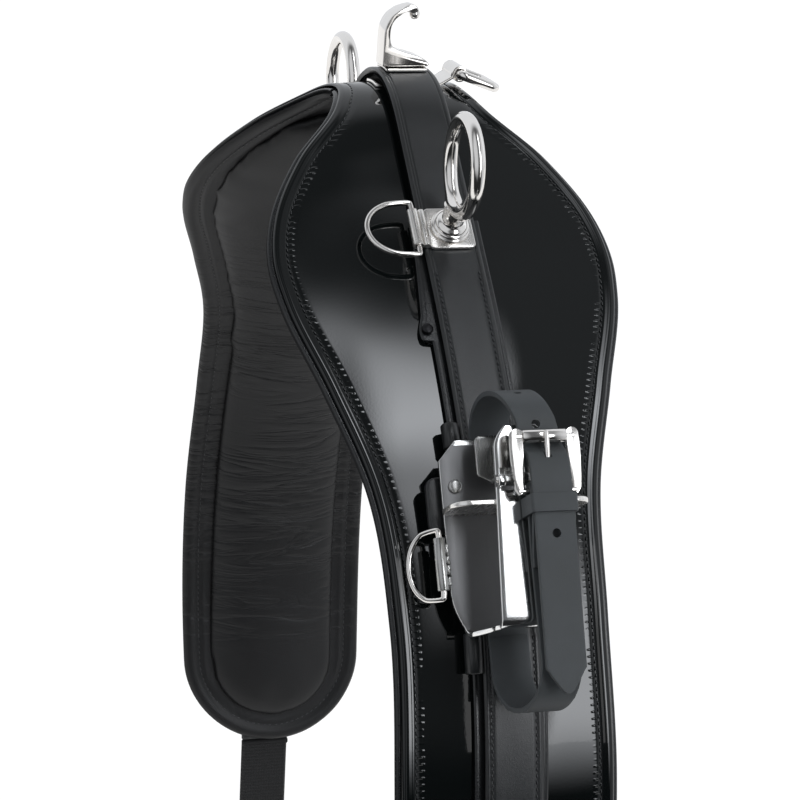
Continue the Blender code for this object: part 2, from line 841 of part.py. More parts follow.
def terret_boss_mesh():
    stem_low = tree_low - plate_low - nut_thickness
    collar = terret_collar / 2
    dome_low = terret_base + terret_collar_height
    profile = [
        (0, stem_low), (bolt_diameter / 2, stem_low), (bolt_diameter / 2, terret_base),
        (collar, terret_base), (collar, dome_low), (terret_dome / 2, dome_low + touch_gap),
    ]
    for turn in (25, 50, 72):
        angle = math.radians(turn)
        height = dome_low + touch_gap + terret_dome_height * math.sin(angle)
        profile.append((terret_dome / 2 * math.cos(angle), height))
    profile.append((0, dome_low + touch_gap + terret_dome_height))
    return turned(profile, 24)


def terret_ring_mesh():
    points = []
    for i in range(36):
        a = 2 * math.pi * i / 36
        points.append((0, terret_ring / 2 * math.sin(a), terret_centre_out + terret_ring / 2 * math.cos(a)))
    return wire(points, terret_wire / 2, 12, True, (1, 0, 0))


for label, side in sides.items():
    seat = back_place(side, terret_arc, plate_low)
    half_length = terret_plate_length / 2
    half_across = terret_plate_width / 2
    plate_corners = corners_of((-half_across, -half_length), (half_across, half_length))
    plate_mesh = prism(rounded(plate_corners, terret_plate_corner, 3), 0, terret_plate_thickness)
    plate = to_object(f"{label}_terret_plate", plate_mesh, polished, seat)
    combine(plate, terret_holes[label], "DIFFERENCE")
    eye_inner = dee_wire / 2 + turn_gap
    eye_outer = eye_inner + dee_eye_wall
    eye_at = Vector((-terret_dee_out, 0, eye_inner))
    eye_turn = Matrix.Translation(eye_at) @ Matrix.Rotation(math.pi / 2, 4, "X")
    eye = bushing(eye_outer, eye_inner, terret_eye_length, 16, eye_turn)
    tongue_half = terret_eye_length / 2 - 0.4 * mm
    tongue_low = (eye_at.x + eye_inner + 0.4 * mm, -tongue_half, 0.1 * mm)
    tongue_high = (-half_across + 4 * mm, tongue_half, terret_plate_thickness * 0.9)
    tongue = block(tongue_low, tongue_high)
    combine(plate, helper(f"{label}_terret_tongue", tongue, seat), "UNION")
    combine(plate, helper(f"{label}_terret_eye", eye, seat), "UNION")
    dee_place = seat @ Matrix.Translation(eye_at)
    dee = dee_mesh(terret_dee_height, terret_dee_depth, dee_wire / 2)
    to_object(f"{label}_terret_dee", dee, polished, dee_place, dee_place.translation)

    terret = to_object(f"{label}_terret", terret_boss_mesh(), polished, seat)
    neck_top = terret_centre_out - terret_ring / 2
    neck = turned([(terret_neck / 2, terret_base + terret_collar_height), (terret_neck / 2, neck_top)], 16)
    combine(terret, helper(f"{label}_terret_neck", neck, seat @ terret_turn), "UNION")
    combine(terret, helper(f"{label}_terret_ring", terret_ring_mesh(), seat @ terret_turn), "UNION")
    nut_place = seat @ Matrix.Translation((0, 0, tree_low - touch_gap - plate_low))
    to_object(f"{label}_terret_nut", nut_mesh(), polished, nut_place)


# The coupler: its place, then its bent sheet, shelf, latch, dee, bolts and pad bar
def coupler_place(side):
    angle = slope_at(coupler_arc) + math.radians(coupler_lean)
    return back_place(side, coupler_arc, strap_top + coupler_standoff, angle)


half_height = coupler_height / 2
throat_in = coupler_sheet
throat_out = coupler_sheet + coupler_throat
front_out = throat_out + coupler_sheet
middle = coupler_sheet / 2


def coupler_mesh():
    bend = coupler_bend
    low = -half_height + middle
    out = throat_out + middle
    foot_top = low + coupler_foot_rise
    path = [(half_height, middle), (half_height - coupler_corner, middle), (0, middle), (foot_top, middle)]
    halves = [coupler_top_half, coupler_half, coupler_half, coupler_half]
    path += arc_points((low + bend, middle + bend), bend, -90, -180, 4)
    halves += [coupler_foot_half] * 5
    path += arc_points((low + bend, out - bend), bend, 180, 90, 4)
    halves += [coupler_front_low_half] * 5
    path += [(half_height - coupler_lip, out)]
    halves += [coupler_front_half]
    for part in (0.3, 0.6, 0.85, 1.0):
        flare = coupler_lip_flare * math.sin(part * math.pi / 2)
        path.append((half_height - coupler_lip * (1 - part), out + flare))
        halves.append(coupler_front_half * (1 - 0.45 * max(part - 0.6, 0) / 0.4))
    return band(path, halves, [0] * len(path), coupler_sheet)


def cut_box(name, target, low, high, place):
    combine(target, helper(name, block(low, high), place), "DIFFERENCE")


for label, side in sides.items():
    place = coupler_place(side)
    body = to_object(f"{label}_coupler", coupler_mesh(), polished, place)
    window_low = latch_above_middle - latch_barrel / 2 - 1.2 * mm
    window_high = latch_above_middle + latch_barrel / 2 + 3 * mm
    arm_middle = latch_barrel_rear - latch_barrel_length / 2
    window_half = latch_arm_half + 1 * mm
    cut_box(
        f"{label}_latch_window", body,
        (arm_middle - window_half, window_low, throat_out - 1 * mm),
        (arm_middle + window_half, window_high, front_out + 1 * mm), place,
    )
    pin_out = front_out + touch_gap + latch_barrel / 2
    lug_places = (
        latch_barrel_rear + touch_gap,
        latch_barrel_rear - latch_barrel_length - touch_gap - latch_lug,
    )
    for k, lug_low in enumerate(lug_places):
        lug_bottom = (lug_low, latch_above_middle - lug_half, front_out - 1 * mm)
        lug_top = (lug_low + latch_lug, latch_above_middle + lug_half, pin_out + lug_half - 0.6 * mm)
        lug = block(lug_bottom, lug_top)
        combine(body, helper(f"{label}_latch_lug_{k}", lug, place), "UNION")
    pin_hole_radius = latch_pin_diameter / 2 + touch_gap
    pin_spot = Matrix.Translation((arm_middle, latch_above_middle, pin_out)) @ along_x
    pin_cut = turned([(pin_hole_radius, -20 * mm), (pin_hole_radius, 20 * mm)], 12, pin_spot)
    combine(body, helper(f"{label}_pin_hole", pin_cut, place), "DIFFERENCE")
    for k, x in enumerate((-coupler_bolt_out, coupler_bolt_out)):
        radius = coupler_bolt_shank / 2 + bolt_gap
        spot = Matrix.Translation((x, coupler_bolt_above_middle, 0))
        hole = turned([(radius, -coupler_standoff), (radius, coupler_standoff)], 12, spot)
        combine(body, helper(f"{label}_bolt_hole_{k}", hole, place), "DIFFERENCE")

    bar_low = -coupler_standoff + touch_gap
    bar_high = -safety_thickness - 2 * touch_gap
    bar_corners = corners_of(
        (-pad_bar_width / 2, pad_bar_above_middle - pad_bar_height / 2),
        (pad_bar_width / 2, pad_bar_above_middle + pad_bar_height / 2),
    )
    bar_mesh = prism(rounded(bar_corners, pad_bar_corner, 4), bar_low, bar_high)
    bar = to_object(f"{label}_coupler_pad", bar_mesh, strap_leather, place)
    for k in range(2):
        combine(bar, bpy.data.objects[f"{label}_bolt_hole_{k}"], "DIFFERENCE")
    for end, x in (("front", -coupler_bolt_out), ("rear", coupler_bolt_out)):
        head = coupler_bolt_head / 2
        shank = coupler_bolt_shank / 2
        base = coupler_sheet + touch_gap
        foot_top = bar_low - touch_gap
        foot_low = foot_top - coupler_bolt_foot
        top = base + coupler_bolt_head_height
        profile = [
            (0, foot_low), (head * 0.8, foot_low), (head * 0.8, foot_top), (shank, foot_top), (shank, base),
            (head, base), (head, base + coupler_bolt_head_height / 2), (head * 0.6, top), (0, top),
        ]
        spot = place @ Matrix.Translation((x, coupler_bolt_above_middle, 0))
        to_object(f"{label}_coupler_bolt_{end}", turned(profile, 16), polished, spot)

    shelf_low = throat_in + touch_gap
    shelf_high = throat_out - touch_gap
    shelf_corners = corners_of((-shelf_half, shelf_low), (shelf_half, shelf_high))
    shelf_under = shelf_above_middle - shelf_thickness / 2
    shelf = prism(rounded(shelf_corners, shelf_end_round, 5), shelf_under, shelf_under + shelf_thickness)
    shelf.transform(swap_yz)
    to_object(f"{label}_coupler_shelf", shelf, polished, place)

    pin_radius = latch_pin_diameter / 2
    pin = turned([(pin_radius, -latch_pin_length / 2), (pin_radius, latch_pin_length / 2)], 12, pin_spot)
    to_object(f"{label}_latch_pin", pin, polished, place)
    axis = place @ Vector((arm_middle, latch_above_middle, pin_out))
    barrel = bushing(latch_barrel / 2, pin_radius + turn_gap, latch_barrel_length, 16, pin_spot)
    latch = to_object(f"{label}_coupler_latch", barrel, polished, place, axis)
    tongue_out = throat_out - latch_depth
    arm_low = latch_above_middle + latch_pin_diameter / 2 + turn_gap + 0.4 * mm
    arm_high = (arm_middle + latch_arm_half, arm_low + latch_sheet, pin_out)
    arm = block((arm_middle - latch_arm_half, arm_low, tongue_out), arm_high)
    combine(latch, helper(f"{label}_latch_arm", arm, place), "UNION")
    tongue_low = arm_low + latch_above_arm
    tongue_high = arm_low + latch_rise
    tongue_shape = [
        (-latch_half, tongue_low), (arm_middle, tongue_low - latch_point), (latch_half, tongue_low),
        (latch_half, tongue_high), (-latch_half, tongue_high),
    ]
    tongue = prism(tongue_shape, tongue_out - latch_sheet, tongue_out + 0.01 * mm)
    combine(latch, helper(f"{label}_latch_tongue", tongue, place), "UNION")

    eye_inner = dee_wire / 2 + turn_gap
    eye_outer = eye_inner + dee_eye_wall
    eye_at = Vector((-coupler_half - touch_gap - eye_outer, -coupler_dee_below_middle, middle))
    eye_turn = Matrix.Translation(eye_at) @ Matrix.Rotation(math.pi / 2, 4, "X")
    clip = bushing(eye_outer, eye_inner, coupler_eye_length, 16, eye_turn)
    to_object(f"{label}_dee_clip", clip, polished, place)
    swing = Matrix.Rotation(math.radians(-coupler_dee_swing), 4, "Y")
    dee_place = place @ Matrix.Translation(eye_at) @ swing
    dee = dee_mesh(coupler_dee_height, coupler_dee_depth, dee_wire / 2)
    to_object(f"{label}_coupler_dee", dee, polished, dee_place, dee_place.translation)


# The safety strap: up behind the coupler, over its top, through the buckle and down as the tail,
# and down again under the coupler's foot and up in front to the buckle's heel bar
strap_half = safety_thickness / 2
inner_level = -touch_gap - strap_half
chape_level = front_out + touch_gap + keeper_wall + touch_gap + strap_half
heel_up = buckle_above_middle - buckle_height / 2
roller_up = buckle_above_middle + buckle_height / 2
wrap = buckle_wire / 2 + touch_gap + strap_half
heel_out = front_out + latch_barrel + 3 * touch_gap + buckle_wire / 2
roller_out = heel_out + roller_forward
behind_roller = roller_out - roller_diameter / 2 - touch_gap - strap_half
over_heel = heel_out + wrap + strap_half + touch_gap + strap_half
doubled_level = chape_level + safety_thickness + touch_gap
tail_level = doubled_level + safety_thickness + 2 * touch_gap
tail_low = -half_height - safety_tail_drop
turn_start = -half_height - safety_bottom_drop + safety_turn
parted = keeper_above_middle - keeper_height / 2


def mixed(start, end, count):
    parts = [i / count for i in range(count + 1)]
    return [start + (end - start) * (3 * u * u - 2 * u ** 3) for u in parts]


def half_turn(middle_up, reach_up, start_out, end_out):
    centre, reach = (start_out + end_out) / 2, (start_out - end_out) / 2
    turns = [math.pi * i / 12 for i in range(13)]
    return [(middle_up + reach_up * math.sin(a), centre + reach * math.cos(a)) for a in turns]


def safety_path():
    path, shifts = [], []

    def add(points, shift):
        path.extend(points)
        shifts.extend(shift if isinstance(shift, list) else [shift] * len(points))

    joined = parted - chape_taper
    tail = [(tail_low, tail_level), (tail_low + safety_tip, tail_level), (parted, over_heel)]
    add(tail, safety_outer_shift)
    add([(heel_up + 3 * mm, over_heel), (heel_up + 8 * mm, over_heel - 1 * mm)], safety_outer_shift)
    under_roller = [(roller_up - 7 * mm, behind_roller + 0.7 * mm), (roller_up - 2 * mm, behind_roller)]
    add(under_roller, safety_outer_shift)
    over = half_turn(half_height + 1.5 * mm, safety_top_rise - 1.5 * mm, behind_roller, inner_level)
    add(over, mixed(safety_outer_shift, safety_inner_shift, 12))
    add([(0, inner_level), (-half_height, inner_level)], safety_inner_shift)
    under = half_turn(turn_start, -safety_turn, inner_level, chape_level)
    add(under, mixed(safety_inner_shift, safety_outer_shift, 12))
    add([(joined, chape_level), (parted, heel_out - wrap - 0.6 * mm)], safety_outer_shift)
    add(arc_points((heel_up, heel_out), wrap, -90, 90, 8), safety_outer_shift)
    down = [(parted, heel_out + wrap), (joined, doubled_level), (joined - 5 * mm, doubled_level)]
    add(down, safety_outer_shift)
    return path, shifts


def safety_mesh():
    path, shifts = safety_path()
    halves = [safety_width / 2] * len(path)
    halves[0] = safety_width / 12
    return band(path, halves, shifts, safety_thickness)


def buckle_points():
    half = buckle_width / 2 - buckle_wire / 2
    corners = [(-half, roller_up), (half, roller_up), (half, heel_up), (-half, heel_up)]
    outline = rounded(corners, buckle_corner, 4)
    points = []
    for x, up in outline:
        part = (up - heel_up) / buckle_height
        points.append((x + safety_outer_shift, up, heel_out + (roller_out - heel_out) * part))
    return points


for label, side in sides.items():
    place = coupler_place(side)
    safety = to_object(f"{label}_safety_strap", safety_mesh(), soft_strap, place)
    slot_half = prong_wire / 2 + slot_clearance
    slot_low = safety_outer_shift - slot_half
    slot_high = safety_outer_shift + slot_half
    cut_box(
        f"{label}_heel_slot", safety,
        (slot_low, heel_up - 5 * mm, heel_out - wrap - safety_thickness),
        (slot_high, heel_up + 6.5 * mm, heel_out + wrap + strap_half + touch_gap / 2), place,
    )
    cut_box(
        f"{label}_prong_slot", safety,
        (slot_low, heel_up + 3.6 * mm, heel_out - 1 * mm),
        (slot_high, roller_up - 6.5 * mm, over_heel + 4 * mm), place,
    )
    spot = Matrix.Translation((safety_outer_shift, tail_hole_above_middle, 0))
    hole_levels = over_heel - strap_half - safety_thickness / 2, over_heel + safety_thickness
    hole = turned([(safety_hole / 2, level) for level in hole_levels], 10, spot)
    combine(safety, helper(f"{label}_tail_hole", hole, place), "DIFFERENCE")

    frame = wire(buckle_points(), buckle_wire / 2, 8, True, (0, 0, 1))
    to_object(f"{label}_buckle_frame", frame, polished, place)
    roller_spot = Matrix.Translation((safety_outer_shift, roller_up, roller_out)) @ along_x
    roller = bushing(roller_diameter / 2, buckle_wire / 2 + turn_gap, roller_length, 16, roller_spot)
    axis = place @ Vector((safety_outer_shift, roller_up, roller_out))
    to_object(f"{label}_buckle_roller", roller, polished, place, axis)

    heel_spot = Matrix.Translation((safety_outer_shift, heel_up, heel_out)) @ along_x
    heel_axis = place @ Vector((safety_outer_shift, heel_up, heel_out))
    eye_inner = buckle_wire / 2 + turn_gap
    eye_outer = eye_inner + prong_eye_wall
    eye = bushing(eye_outer, eye_inner, prong_wire, 14, heel_spot)
    prong = to_object(f"{label}_buckle_prong", eye, polished, place, heel_axis)
    tip_out = roller_out + roller_diameter / 2 + touch_gap + prong_wire / 2
    prong_out = heel_out + eye_outer - prong_eye_wall + 0.2 * mm
    start = Vector((safety_outer_shift, heel_up + 1.2 * mm, prong_out))
    end = Vector((safety_outer_shift, roller_up + prong_past, tip_out))
    bar = wire([start, start.lerp(end, 0.5), end], prong_wire / 2, 8)
    combine(prong, helper(f"{label}_prong_bar", bar, place), "UNION")

    keeper_half = safety_width / 2 + touch_gap
    outer_half = keeper_half + keeper_wall
    low = chape_level - strap_half - touch_gap
    high = over_heel + strap_half + touch_gap
    ring = corners_of((-outer_half, low - keeper_wall), (outer_half, high + keeper_wall))
    hole = block((-keeper_half, low, -keeper_height), (keeper_half, high, keeper_height))
    spot = place @ Matrix.Translation((safety_outer_shift, keeper_above_middle, 0)) @ swap_yz
    keeper_mesh = prism(ring, -keeper_height / 2, keeper_height / 2)
    keeper = to_object(f"{label}_safety_keeper", keeper_mesh, soft_strap, spot)
    combine(keeper, helper(f"{label}_keeper_hole", hole, spot), "DIFFERENCE")


# Rolled loops on the backing, against the strap's front edge
for label, side in sides.items():
    for spot_name, (arc, length) in rolled_loops.items():
        radius = rolled_loop_diameter / 2
        seat = back_place(side, arc, backing_top + touch_gap + radius)
        forward = strap_width / 2 + touch_gap + radius
        spot = Matrix.Translation((-forward, 0, 0)) @ Matrix.Rotation(math.pi / 2, 4, "X")
        loop = bushing(radius, radius - rolled_loop_wall, length, 14, spot)
        to_object(f"{label}_{spot_name}_loop", loop, strap_leather, seat)
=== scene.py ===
import math

import bpy
import numpy as np
from mathutils import Matrix, Vector
from mathutils.kdtree import KDTree


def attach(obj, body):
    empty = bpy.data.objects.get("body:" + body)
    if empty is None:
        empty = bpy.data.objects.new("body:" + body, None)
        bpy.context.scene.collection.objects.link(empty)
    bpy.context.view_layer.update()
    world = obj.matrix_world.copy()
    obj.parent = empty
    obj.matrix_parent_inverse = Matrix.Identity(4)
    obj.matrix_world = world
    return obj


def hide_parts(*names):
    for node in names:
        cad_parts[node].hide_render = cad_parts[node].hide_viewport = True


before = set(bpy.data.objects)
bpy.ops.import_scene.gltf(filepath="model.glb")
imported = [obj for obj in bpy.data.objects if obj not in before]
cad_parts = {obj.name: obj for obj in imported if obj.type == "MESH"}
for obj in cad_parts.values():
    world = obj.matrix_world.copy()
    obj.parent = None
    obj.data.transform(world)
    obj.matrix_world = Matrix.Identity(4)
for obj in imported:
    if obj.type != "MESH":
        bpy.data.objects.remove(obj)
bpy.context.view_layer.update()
mm = 0.001
print("frame loaded,", len(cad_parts), "nodes")

# Camera, where the photographer stood: a long lens, a little in front of the near side
camera = {
    "distance": 1.726, "turn": 16.5, "rise": 10.3, "roll": 2.7, "aim": (386.5, 85.1), "lens": 143.7,
    "sensor": 36, "picture": 800, "ridge": 0.0073,
}


# Two directions turned in their own plane
def spun(first, second, angle):
    return first * math.cos(angle) + second * math.sin(angle), second * math.cos(angle) - first * math.sin(angle)


def makeCamera():
    turn, rise, roll = (math.radians(camera[key]) for key in ("turn", "rise", "roll"))
    stand = Vector((-math.sin(turn) * math.cos(rise), -math.cos(turn) * math.cos(rise), math.sin(rise)))
    right = (-stand).cross(Vector((0, 0, 1))).normalized()
    focus, middle = camera["lens"] / camera["sensor"] * camera["picture"], camera["picture"] / 2
    forward, up = spun(-stand, right.cross(-stand), math.atan2(camera["aim"][1] - middle, focus))
    forward, right = spun(forward, right, math.atan2(middle - camera["aim"][0], focus))
    right, up = spun(right, up, roll)
    data = bpy.data.cameras.new("photoCamera")
    data.lens, data.sensor_width = camera["lens"], camera["sensor"]
    made = bpy.data.objects.new("photoCamera", data)
    place = Matrix((right, up, -forward)).transposed().to_4x4()
    place.translation = stand * camera["distance"] + Vector((0, 0, camera["ridge"]))
    made.matrix_world = place
    bpy.context.scene.collection.objects.link(made)
    bpy.context.scene.camera = made


makeCamera()

# The horse's back under the skirt, in millimetres: distance down from the ridge with the fall in degrees,
# and the panel's half width at each distance
back = {
    "falls": ((0, 0), (34, 36), (80, 42), (140, 42), (200, 48), (280, 59), (375, 76), (480, 94), (568, 101)),
    "edges": (
        (0, 34), (26, 41), (60, 66.5), (100, 86), (124, 90), (148, 88),
        (201, 73), (254, 58.5), (321, 54), (401, 55), (482, 55), (568, 53),
    ),
    "length": 568, "round": 52, "forward": 2.5, "back": 5, "ridge": 5.3, "reach": 780,
}
# Where the rounded tip begins
tipStart = back["length"] - back["round"]
# Heights above the skirt's underside, in millimetres
levels = {"skirt": 3, "backing": 6.3, "strap": 11, "plate": 11.3}
# Gap between two layers that would touch
gap = 0.3


def unit(values):
    return np.clip(values, 0, 1)


def bell(values, centre, width):
    return np.exp(-((values - centre) / width) ** 2)


def smoothCurve(points, odd):
    first = points[1]
    x, y = np.array([(-first[0], -first[1] if odd else first[1]), *points], float).T
    rate = np.gradient(y, x)

    def value(at):
        at = np.clip(at, x[0], x[-1])
        i = np.clip(np.searchsorted(x, at) - 1, 0, len(x) - 2)
        span = x[i + 1] - x[i]
        u = (at - x[i]) / span
        start = (1 + 2 * u) * (1 - u) ** 2 * y[i] + u * (1 - u) ** 2 * span * rate[i]
        return start + u * u * (3 - 2 * u) * y[i + 1] - u * u * (1 - u) * span * rate[i + 1]

    return value


fallAt = smoothCurve(back["falls"], True)
edgeAt = smoothCurve(back["edges"], False)
steps = np.arange(0, back["reach"], 1.0)
stepFalls = np.radians(fallAt(steps + 0.5))
stepEnds = np.append(steps, back["reach"])
runs = np.append(0, np.cumsum(np.cos(stepFalls)))
drops = np.append(0, np.cumsum(np.sin(stepFalls)))


# Flat leather in millimetres (across, along, up) to metres on the back; along is negative on the near side
def onBack(points):
    x, along, out = np.asarray(points, float).reshape(-1, 3).T
    angle = np.radians(fallAt(np.abs(along)))
    run = np.interp(np.abs(along), stepEnds, runs) + out * np.sin(angle)
    drop = np.interp(np.abs(along), stepEnds, drops) - out * np.cos(angle)
    side = np.where(along < 0, -1, 1)
    return np.stack([x, side * run, back["ridge"] - drop], axis=1) * mm


# The near side's place on the back for metal parts: x to the tail, y up the slope, z away from the horse
def nearPlace(along, out, angle=None):
    angle = math.radians(float(fallAt(along))) if angle is None else math.radians(angle)
    place = Matrix.Identity(4)
    place.col[1] = (0, math.cos(angle), math.sin(angle), 0)
    place.col[2] = (0, -math.sin(angle), math.cos(angle), 0)
    place.col[3] = (*onBack((0, -along, out))[0], 1)
    return place


def shiftAt(along):
    return back["back"] * (np.abs(along) / back["length"]) ** 2 - back["forward"]


def halfAt(along, outset=0.0):
    along = np.abs(along)
    over = unit((along - tipStart) / (back["round"] + outset))
    return (edgeAt(along) + outset) * np.sqrt(1 - over ** 2)


# Shader maths: a value that adds its own nodes
class Signal:
    def __init__(self, finish, socket):
        self.finish, self.socket = finish, socket

    def maths(self, operation, *others):
        return self.finish.node("ShaderNodeMath", {"operation": operation}, self, *others)

    def __add__(self, other):
        return self.maths("ADD", other)

    def __sub__(self, other):
        return self.maths("SUBTRACT", other)

    def __mul__(self, other):
        return self.maths("MULTIPLY", other)

    def __truediv__(self, other):
        return self.maths("DIVIDE", other)

    def __pow__(self, other):
        return self.maths("POWER", other)

    def __rsub__(self, other):
        return self * -1 + other

    __radd__, __rmul__ = __add__, __mul__

    def size(self):
        return self.maths("ABSOLUTE")

    def ramp(self, low, high):
        return self.finish.node("ShaderNodeMapRange", {"interpolation_type": "SMOOTHSTEP"}, self, low, high)


class Finish:
    def __init__(self, name, **values):
        self.material = bpy.data.materials.new(name)
        self.material.use_nodes = True
        self.tree = self.material.node_tree
        self.shader = self.tree.nodes["Principled BSDF"]
        for key, value in values.items():
            self.put(key, value)

    def feed(self, socket, value):
        if isinstance(value, Signal):
            self.tree.links.new(value.socket, socket)
        else:
            socket.default_value = (*value, 1) if socket.type == "RGBA" else value

    def put(self, key, value):
        self.feed(self.shader.inputs[key.replace("_", " ")], value)

    def node(self, kind, settings=None, *values, output=0, **named):
        made = self.tree.nodes.new(kind)
        for key, value in (settings or {}).items():
            setattr(made, key, value)
        for key, value in [*enumerate(values), *named.items()]:
            self.feed(made.inputs[key], value)
        return Signal(self, made.outputs[output])

    def place(self):
        return self.node("ShaderNodeTexCoord", output=3)

    def flow(self):
        return self.node("ShaderNodeUVMap", {"uv_map": "flow"})

    def split(self, vector, *axes):
        return [self.node("ShaderNodeSeparateXYZ", None, vector, output=axis) for axis in axes]

    def stretched(self, vector, scale):
        return self.node("ShaderNodeMapping", None, vector, Scale=scale)

    def noise(self, vector, scale, detail, rough=0.5, twist=0.0):
        values = {"Vector": vector, "Scale": scale, "Detail": detail, "Roughness": rough, "Distortion": twist}
        return self.node("ShaderNodeTexNoise", None, **values)

    def colour(self, factor, first, second):
        made = self.tree.nodes.new("ShaderNodeMix")
        made.data_type = "RGBA"
        for index, value in ((0, factor), (6, first), (7, second)):
            self.feed(made.inputs[index], value)
        return Signal(self, made.outputs[2])

    def bump(self, height, strength, distance, **before):
        return self.node("ShaderNodeBump", None, Strength=strength, Distance=distance, Height=height, **before)


# Patent leather, with the ticks that a tool has pressed along its turned edge
def makePatent():
    finish = Finish("blackPatent", Roughness=0.03, Specular_IOR_Level=0.5)
    place = finish.place()
    along, inward = finish.split(finish.flow(), 0, 1)
    pitch, bandStart, bandEnd, ridge = 0.0034, (0.0076, 0.0082), (0.0116, 0.0096), (0.03, 0.07)
    tick = ((along / pitch).maths("FRACT") - 0.5).size().ramp(0.22, 0.05)
    band = inward.ramp(*bandStart) * inward.ramp(*bandEnd)
    uneven = finish.noise(place, 60, 2).ramp(0.3, 0.75) * along.size().ramp(*ridge)
    waves = finish.noise(place, 10, 1)
    peel = finish.noise(place, 900, 2)
    soft = finish.bump(peel, 0.02, 0.0002, Normal=finish.bump(waves, 1.0, 0.0026))
    finish.put("Normal", finish.bump(tick * band * uneven, 0.8, 0.0004, Normal=soft))
    finish.put("Base_Color", finish.colour(waves, (0.003, 0.004, 0.0042), (0.0045, 0.006, 0.006)))
    return finish.material


def makeLeather(name, dark, light, rough, grain, shine=0.5):
    finish = Finish(name, Specular_IOR_Level=shine)
    place = finish.place()
    cells = finish.node("ShaderNodeTexVoronoi", None, Vector=place, Scale=grain)
    fine = finish.noise(place, grain * 1.7, 4)
    broad = finish.noise(place, 35, 4)
    finish.put("Base_Color", finish.colour(broad.ramp(0.3, 0.7), dark, light))
    finish.put("Roughness", (fine - 0.5) * 0.16 + (broad - 0.5) * 0.12 + rough)
    finish.put("Normal", finish.bump(cells * 0.5 + fine, 0.22, 0.00025))
    return finish.material


# Lining leather, with fine creases and folds across the lower half of the panel
def makeLining():
    finish = Finish("liningLeather", Specular_IOR_Level=0.3)
    flow = finish.flow()
    along = finish.split(flow, 0)[0].size()
    grain = finish.noise(finish.place(), 1300, 4)
    drift = finish.noise(flow, 14, 2)
    creases = finish.noise(finish.stretched(flow, (75, 13, 1)), 1.0, 3, 0.5, 1.2)
    sharp = (1 - (creases * 2 - 1).size()) ** 6
    lower = along.ramp(0.12, 0.34) * (1 - along.ramp(0.47, 0.52)) * drift.ramp(0.25, 0.6)
    wide = finish.noise(finish.stretched(flow, (42, 8, 1)), 1.0, 2)
    folds = finish.bump(wide * lower, 0.5, 0.0025)
    folds = finish.bump(1 - sharp * lower, 0.55, 0.0012, Normal=folds)
    finish.put("Normal", finish.bump(grain, 0.3, 0.0002, Normal=folds))
    finish.put("Base_Color", finish.colour(drift, (0.0045, 0.0045, 0.005), (0.0075, 0.0075, 0.008)))
    finish.put("Roughness", grain * 0.16 + 0.36)
    return finish.material


def makeWebbing():
    finish = Finish("girthWebbing", Roughness=0.85)
    flow = finish.flow()
    along, across = finish.split(flow, 0, 1)
    rib, pick, turn = 0.0022, 0.0017, 2 * math.pi
    ribs = (along * turn / rib).maths("SINE") * 0.5 + 0.5
    weave = (along * turn / (2 * rib)).maths("SINE") * 1.3
    picks = (across * turn / pick + weave).maths("SINE") * 0.5 + 0.5
    height = ribs * 0.7 + picks * 0.5
    # the colour varies at random and is darker where the weave lies low: painted shade in its hollows
    toneAndHollowShade = height * finish.noise(flow, 300, 2)
    finish.put("Base_Color", finish.colour(toneAndHollowShade, (0.003, 0.003, 0.003), (0.013, 0.013, 0.014)))
    finish.put("Normal", finish.bump(height, 0.8, 0.0004))
    return finish.material


# Steel with a faint haze and fine scratches
def makeSteel(name, colour, rough, spread):
    finish = Finish(name, Metallic=1.0)
    place = finish.place()
    haze = finish.noise(place, 70, 4)
    scratches = finish.noise(finish.stretched(place, (900, 60, 60)), 1.0, 3)
    finish.put("Base_Color", finish.colour(haze, tuple(c * 0.93 for c in colour), colour))
    finish.put("Roughness", haze * spread + scratches.ramp(0.55, 0.75) * spread + rough)
    finish.put("Normal", finish.bump(haze, 0.04, 0.0003))
    return finish.material


def makeThread():
    finish = Finish("waxedThread", Roughness=0.32)
    twist = finish.noise(finish.place(), 2500, 2)
    finish.put("Base_Color", finish.colour(twist, (0.009, 0.0095, 0.010), (0.032, 0.034, 0.036)))
    finish.put("Normal", finish.bump(twist, 0.4, 0.0002))
    return finish.material


finishes = {
    "patent": makePatent(),
    "strap": makeLeather("bridleLeather", (0.006, 0.007, 0.0075), (0.010, 0.0115, 0.0125), 0.34, 1500, 0.6),
    "edge": makeLeather("dyedEdge", (0.006, 0.007, 0.008), (0.012, 0.013, 0.014), 0.3, 700),
    "lining": makeLining(),
    "soft": makeLeather("softStrapLeather", (0.046, 0.051, 0.053), (0.057, 0.063, 0.067), 0.6, 1900),
    "webbing": makeWebbing(),
    "steel": makeSteel("polishedSteel", (0.83, 0.805, 0.775), 0.08, 0.06),
    "plate": makeSteel("brushedSteel", (0.85, 0.83, 0.80), 0.22, 0.09),
    "folded": makeSteel("foldedSteel", (0.84, 0.84, 0.83), 0.1, 0.05),
    # a darker, rougher copy of the steel for the coupler's fold: its dark colour is painted shade
    "paintedShadeSteel": makeSteel("shadedSteel", (0.22, 0.22, 0.223), 0.34, 0.09),
    "cast": makeSteel("castSteel", (0.42, 0.42, 0.41), 0.2, 0.12),
    "dark": makeSteel("darkSteel", (0.03, 0.03, 0.032), 0.3, 0.2),
    "thread": makeThread(),
}
print("finishes made")


# Hand tools
def onlySelect(piece):
    if bpy.context.mode != "OBJECT":
        bpy.ops.object.mode_set(mode="OBJECT")
    bpy.ops.object.select_all(action="DESELECT")
    if piece is not None:
        piece.select_set(True)
        bpy.context.view_layer.objects.active = piece


def pointsOf(piece):
    points = np.empty(len(piece.data.vertices) * 3)
    piece.data.vertices.foreach_get("co", points)
    return points.reshape(-1, 3)


def movePoints(piece, points):
    piece.data.vertices.foreach_set("co", np.asarray(points, float).ravel())
    piece.data.update()


def shapeWith(piece, kind, **settings):
    onlySelect(piece)
    step = piece.modifiers.new(kind.lower(), kind)
    for key, value in settings.items():
        setattr(step, key, value)
    bpy.ops.object.modifier_apply(modifier=step.name)


